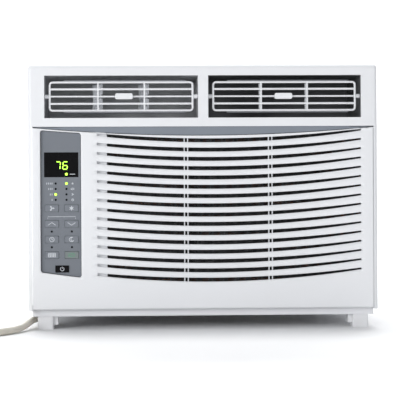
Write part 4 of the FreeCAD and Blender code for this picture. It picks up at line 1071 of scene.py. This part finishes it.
class AIRCON_OT_coils(bpy.types.Operator):
    """Makes the fins, end plates and copper bends of the evaporator and the condenser."""

    bl_idname = "aircon.coils"
    bl_label = "Finned coils"

    def execute(self, context):
        size = context.scene.aircon_coils
        self.coil(size, "evaporator", (-134 * MM, 214 * MM), 5, 76 * MM, (-153 * MM, -165 * MM))
        self.coil(size, "condenser", (-212 * MM, 212 * MM), 7, 50 * MM, (148 * MM, 168 * MM))
        return {"FINISHED"}

    def coil(self, size, name, ends, bends_high, first, rows):
        """One coil between its ends, with bends_high bends above one another in each row of tubes."""
        node = name + "_coil"
        low, high = (np.array(corner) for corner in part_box(node))
        low[0], high[0] = ends
        plates = slabs(
            [low, (high[0] - PLATE, low[1], low[2])],
            [(low[0] + PLATE, high[1], high[2]), high],
        )
        fins = fin_stack(low, high, size.fin_pitch, size.fin_thickness, 18)
        piece(name + "_fins", fins, FINISHES["fin_aluminium"], "chassis", [node],
              outward=False)
        piece(name + "_end_plates", plates, FINISHES["zinc_steel"], "chassis")
        heights = first + 44 * MM * np.arange(bends_high)
        bends = return_bends(low[0], high[0], rows, heights, size.tube_radius)
        for row in rows:
            for height in heights:
                for side in (-1, 1):
                    z = height + side * BEND
                    start, end = (low[0] + PLATE, row, z), (high[0] - PLATE, row, z)
                    bends.append(rod(start, end, size.tube_radius, 10))
        piece(name + "_tubes", merged(*bends), FINISHES["copper_pipe"], "chassis")


# ---- control panel -------------------------------------------------------------------------------

# A printed line's height, as a share of its width.
FLAT = 0.25
# The rows of lamps beneath the display, and the columns.
LAMP_ROWS = (201.7, 194.2, 186.7, 179.2)
LAMP_COLUMNS = (-203.6, -188.8)


def stroke(points, width, level, closed=False):
    """A printed line: a flattened tube carried along a path that lies on the plane y = level."""
    points = np.asarray(points, float)
    path = np.stack([points[:, 0], np.full(len(points), level), points[:, 1]], axis=-1)
    return tube(path, width / 2, 6, closed, up=(0, 1, 0), squash=FLAT)


def ellipse(wide, tall, start=0.0, end=360.0, count=25):
    angle = np.radians(np.linspace(start, end, count))
    return np.stack([wide * np.cos(angle), tall * np.sin(angle)], axis=-1)


def rose(radius, petals):
    """Petals: the radius is the cosine of petals times the angle."""
    angle = np.linspace(0, math.pi, 20 * petals, endpoint=False)
    reach = radius * np.cos(petals * angle)
    return np.stack([reach * np.cos(angle), reach * np.sin(angle)], axis=-1)


def spokes(radius, count):
    """Lines through the middle, evenly turned."""
    lines = []
    for number in range(count):
        angle = math.pi * number / count + math.pi / 2
        end = radius * np.array([math.cos(angle), math.sin(angle)])
        lines.append(np.array([-end, end]))
    return lines


def symbols():
    """Strokes of each key's symbol by the key's name, in millimetres about the key's middle."""
    leaf = np.vstack([ellipse(4.4, 2.4, 200, 20, 15), ellipse(4.4, 2.4, 20, -160, 15)])
    return {
        "fan": [rose(3.3, 3), ellipse(0.5, 0.5)],
        "mode": spokes(3.2, 3) + [ellipse(1.5, 1.5)],
        "up": [np.array([(-5.2, -1.7), (0, 1.9), (5.2, -1.7)])],
        "down": [np.array([(-5.2, 1.7), (0, -1.9), (5.2, 1.7)])],
        "timer": [ellipse(3.1, 3.1), np.array([(0, 2.0), (0, 0), (1.7, -0.9)])],
        "sleep": [ellipse(3.1, 3.1, 60, 330), ellipse(2.3, 2.6, 75, 320) + np.array([1.3, 0.5])],
        "filter": [np.array([(-5, level), (5, level)]) for level in (-2.4, -0.8, 0.8, 2.4)]
        + [np.array([(place, -2.4), (place, 2.4)]) for place in (-5, -1.7, 1.7, 5)],
        "eco": [leaf, np.array([(-5.0, -1.8), (2.4, 0.9)])],
        "power": [ellipse(2.5, 2.5, 125, 415), np.array([(0, 0.4), (0, 3.2)])],
    }


# Which of the seven strokes of a figure are lit, from the top round to the middle.
FIGURES = {"7": "abc", "6": "acdefg"}


def digit(figure, middle_x, low_z, wide, tall, level):
    """A seven-stroke figure, leaning by a tenth of its height."""
    lean = 0.1 * tall
    ends = {
        "a": ((0, 2), (1, 2)), "b": ((1, 2), (1, 1)), "c": ((1, 1), (1, 0)), "d": ((1, 0), (0, 0)),
        "e": ((0, 0), (0, 1)), "f": ((0, 1), (0, 2)), "g": ((0, 1), (1, 1)),
    }
    strokes = []
    for letter in FIGURES[figure]:
        start, end = (np.array(spot, float) for spot in ends[letter])
        trim = 0.11 * (end - start)
        line = np.array([start + trim, end - trim])
        x = middle_x + (line[:, 0] - 0.5) * wide + lean * (line[:, 1] / 2 - 0.5)
        z = low_z + line[:, 1] / 2 * tall
        strokes.append(stroke(np.stack([x, z], -1), 1.2 * MM, level))
    return strokes


def dome(middle, radius, level, proud):
    """A low lens: rings whose radius falls as the root of one less the height squared."""
    rise = np.linspace(0, 0.98, 7)
    path = np.stack([np.full(7, middle[0]), level - rise * proud, np.full(7, middle[1])], axis=-1)
    return tube(path, radius * np.sqrt(1 - rise ** 2), 20)


class AIRCON_OT_controls(bpy.types.Operator):
    """Makes the display's figures, the lit lamps and everything printed on the panel and its keys."""

    bl_idname = "aircon.controls"
    bl_label = "Controls"

    def execute(self, context):
        colours = context.scene.aircon_colours
        ink = printed("pale ink", (0.62, 0.65, 0.69))
        green_ink = printed("green ink", (0.11, 0.3, 0.19))
        glow = lit("green figures", colours.glow, 2.2)
        self.keys(ink, green_ink)
        self.display(glow, ink)
        self.labels(ink)
        self.lamps(glow)
        return {"FINISHED"}

    def keys(self, ink, green_ink):
        for name, strokes in symbols().items():
            low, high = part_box(name + "_button")
            middle = np.array([(low.x + high.x) / 2, (low.z + high.z) / 2])
            level = low.y - 0.02 * MM
            parts = [stroke(middle + line * MM, 0.75 * MM, level) for line in strokes]
            colour = green_ink if name == "eco" else ink
            piece(name + "_symbol", merged(*parts), colour, name + "_key")

    def display(self, glow, ink):
        low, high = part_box("display_window")
        level = low.y - 0.05 * MM
        base = high.z - 23.2 * MM
        tall = 10.2 * MM
        wide = 6.2 * MM
        parts = digit("7", -200.3 * MM, base, wide, tall, level)
        parts += digit("6", -190.4 * MM, base, wide, tall, level)
        piece("display_figures", merged(*parts), glow, "chassis")
        line_z = 214.5 * MM
        mark = [(-184.2 * MM, line_z), (-176.7 * MM, line_z)]
        piece("display_mark", stroke(mark, 0.9 * MM, level), ink, "chassis")
        lens = dome((LAMP_COLUMNS[1] * MM, line_z), 1.9 * MM, low.y, 0.5 * MM)
        piece("display_lamp", lens, glow, "chassis")

    def lamps(self, glow):
        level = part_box("indicator_lamps")[0].y
        lit_places = ((LAMP_COLUMNS[1], LAMP_ROWS[0]), (LAMP_COLUMNS[0], LAMP_ROWS[2]))
        parts = [dome((x * MM, z * MM), 1.75 * MM, level, 0.4 * MM) for x, z in lit_places]
        piece("lit_lamps", merged(*parts), glow, "chassis")

    def labels(self, ink):
        """Small marks beside the lamps: bars for speeds, and small symbols for modes."""
        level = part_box("control_overlay")[0].y - 0.02 * MM
        parts = []
        for number, z in enumerate(LAMP_ROWS):
            for bar in range(4 - number):
                x = LAMP_COLUMNS[0] - 5 - 2.4 * bar
                parts.append(stroke(np.array([(x, z - 1.3), (x, z + 1.3)]) * MM, 0.8 * MM, level))
        small = symbols()
        for name, z in zip(("mode", "eco", "fan", "timer"), LAMP_ROWS):
            middle = np.array([-180.4, z]) * MM
            parts += [stroke(middle + 0.5 * MM * line, 0.5 * MM, level) for line in small[name]]
        bracket = np.array([(-214.6, 152.8), (-214.6, 156.1), (-176.6, 156.1), (-176.6, 152.8)]) * MM
        parts.append(stroke(bracket, 0.5 * MM, level))
        piece("panel_marks", merged(*parts), ink, "chassis")


# ---- finishes on the frame's own parts -----------------------------------------------------------

class AIRCON_OT_finishes(bpy.types.Operator):
    """Makes every finish and gives each of the frame's parts the one for its slot."""

    bl_idname = "aircon.finishes"
    bl_label = "Finishes"

    def execute(self, context):
        FINISHES.update(finish_table(context.scene.aircon_colours))
        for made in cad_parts.values():
            for holder in made.material_slots:
                holder.material = FINISHES[holder.material.name.split(".")[0]]
        return {"FINISHED"}


# ---- add-on --------------------------------------------------------------------------------------

OPERATORS = (
    AIRCON_OT_stage, AIRCON_OT_finishes, AIRCON_OT_lead, AIRCON_OT_door, AIRCON_OT_louvres, AIRCON_OT_filter,
    AIRCON_OT_coils, AIRCON_OT_controls,
)
SETTINGS = {
    "aircon_door": DoorSizes,
    "aircon_louvres": LouvreSizes,
    "aircon_lead": LeadSizes,
    "aircon_coils": CoilSizes,
    "aircon_colours": FinishColours,
    "aircon_stage": StageSizes,
}


class AIRCON_PT_panel(bpy.types.Panel):
    """Lists the steps and their sizes in the sidebar."""

    bl_idname = "AIRCON_PT_panel"
    bl_label = "Air Conditioner"
    bl_space_type = "VIEW_3D"
    bl_region_type = "UI"
    bl_category = "Air Conditioner"

    def draw(self, context):
        for step in OPERATORS:
            self.layout.operator(step.bl_idname)
        for name, group in SETTINGS.items():
            box = self.layout.box()
            for prop in group.__annotations__:
                box.prop(getattr(context.scene, name), prop)


def register():
    for item in (*SETTINGS.values(), *OPERATORS, AIRCON_PT_panel):
        bpy.utils.register_class(item)
    for name, group in SETTINGS.items():
        setattr(bpy.types.Scene, name, bpy.props.PointerProperty(type=group))


def unregister():
    for name in SETTINGS:
        delattr(bpy.types.Scene, name)
    for item in reversed((*SETTINGS.values(), *OPERATORS, AIRCON_PT_panel)):
        bpy.utils.unregister_class(item)


def main():
    register()
    for step in OPERATORS:
        category, name = step.bl_idname.split(".")
        getattr(getattr(bpy.ops, category), name)()


if __name__ == "__main__":
    main()
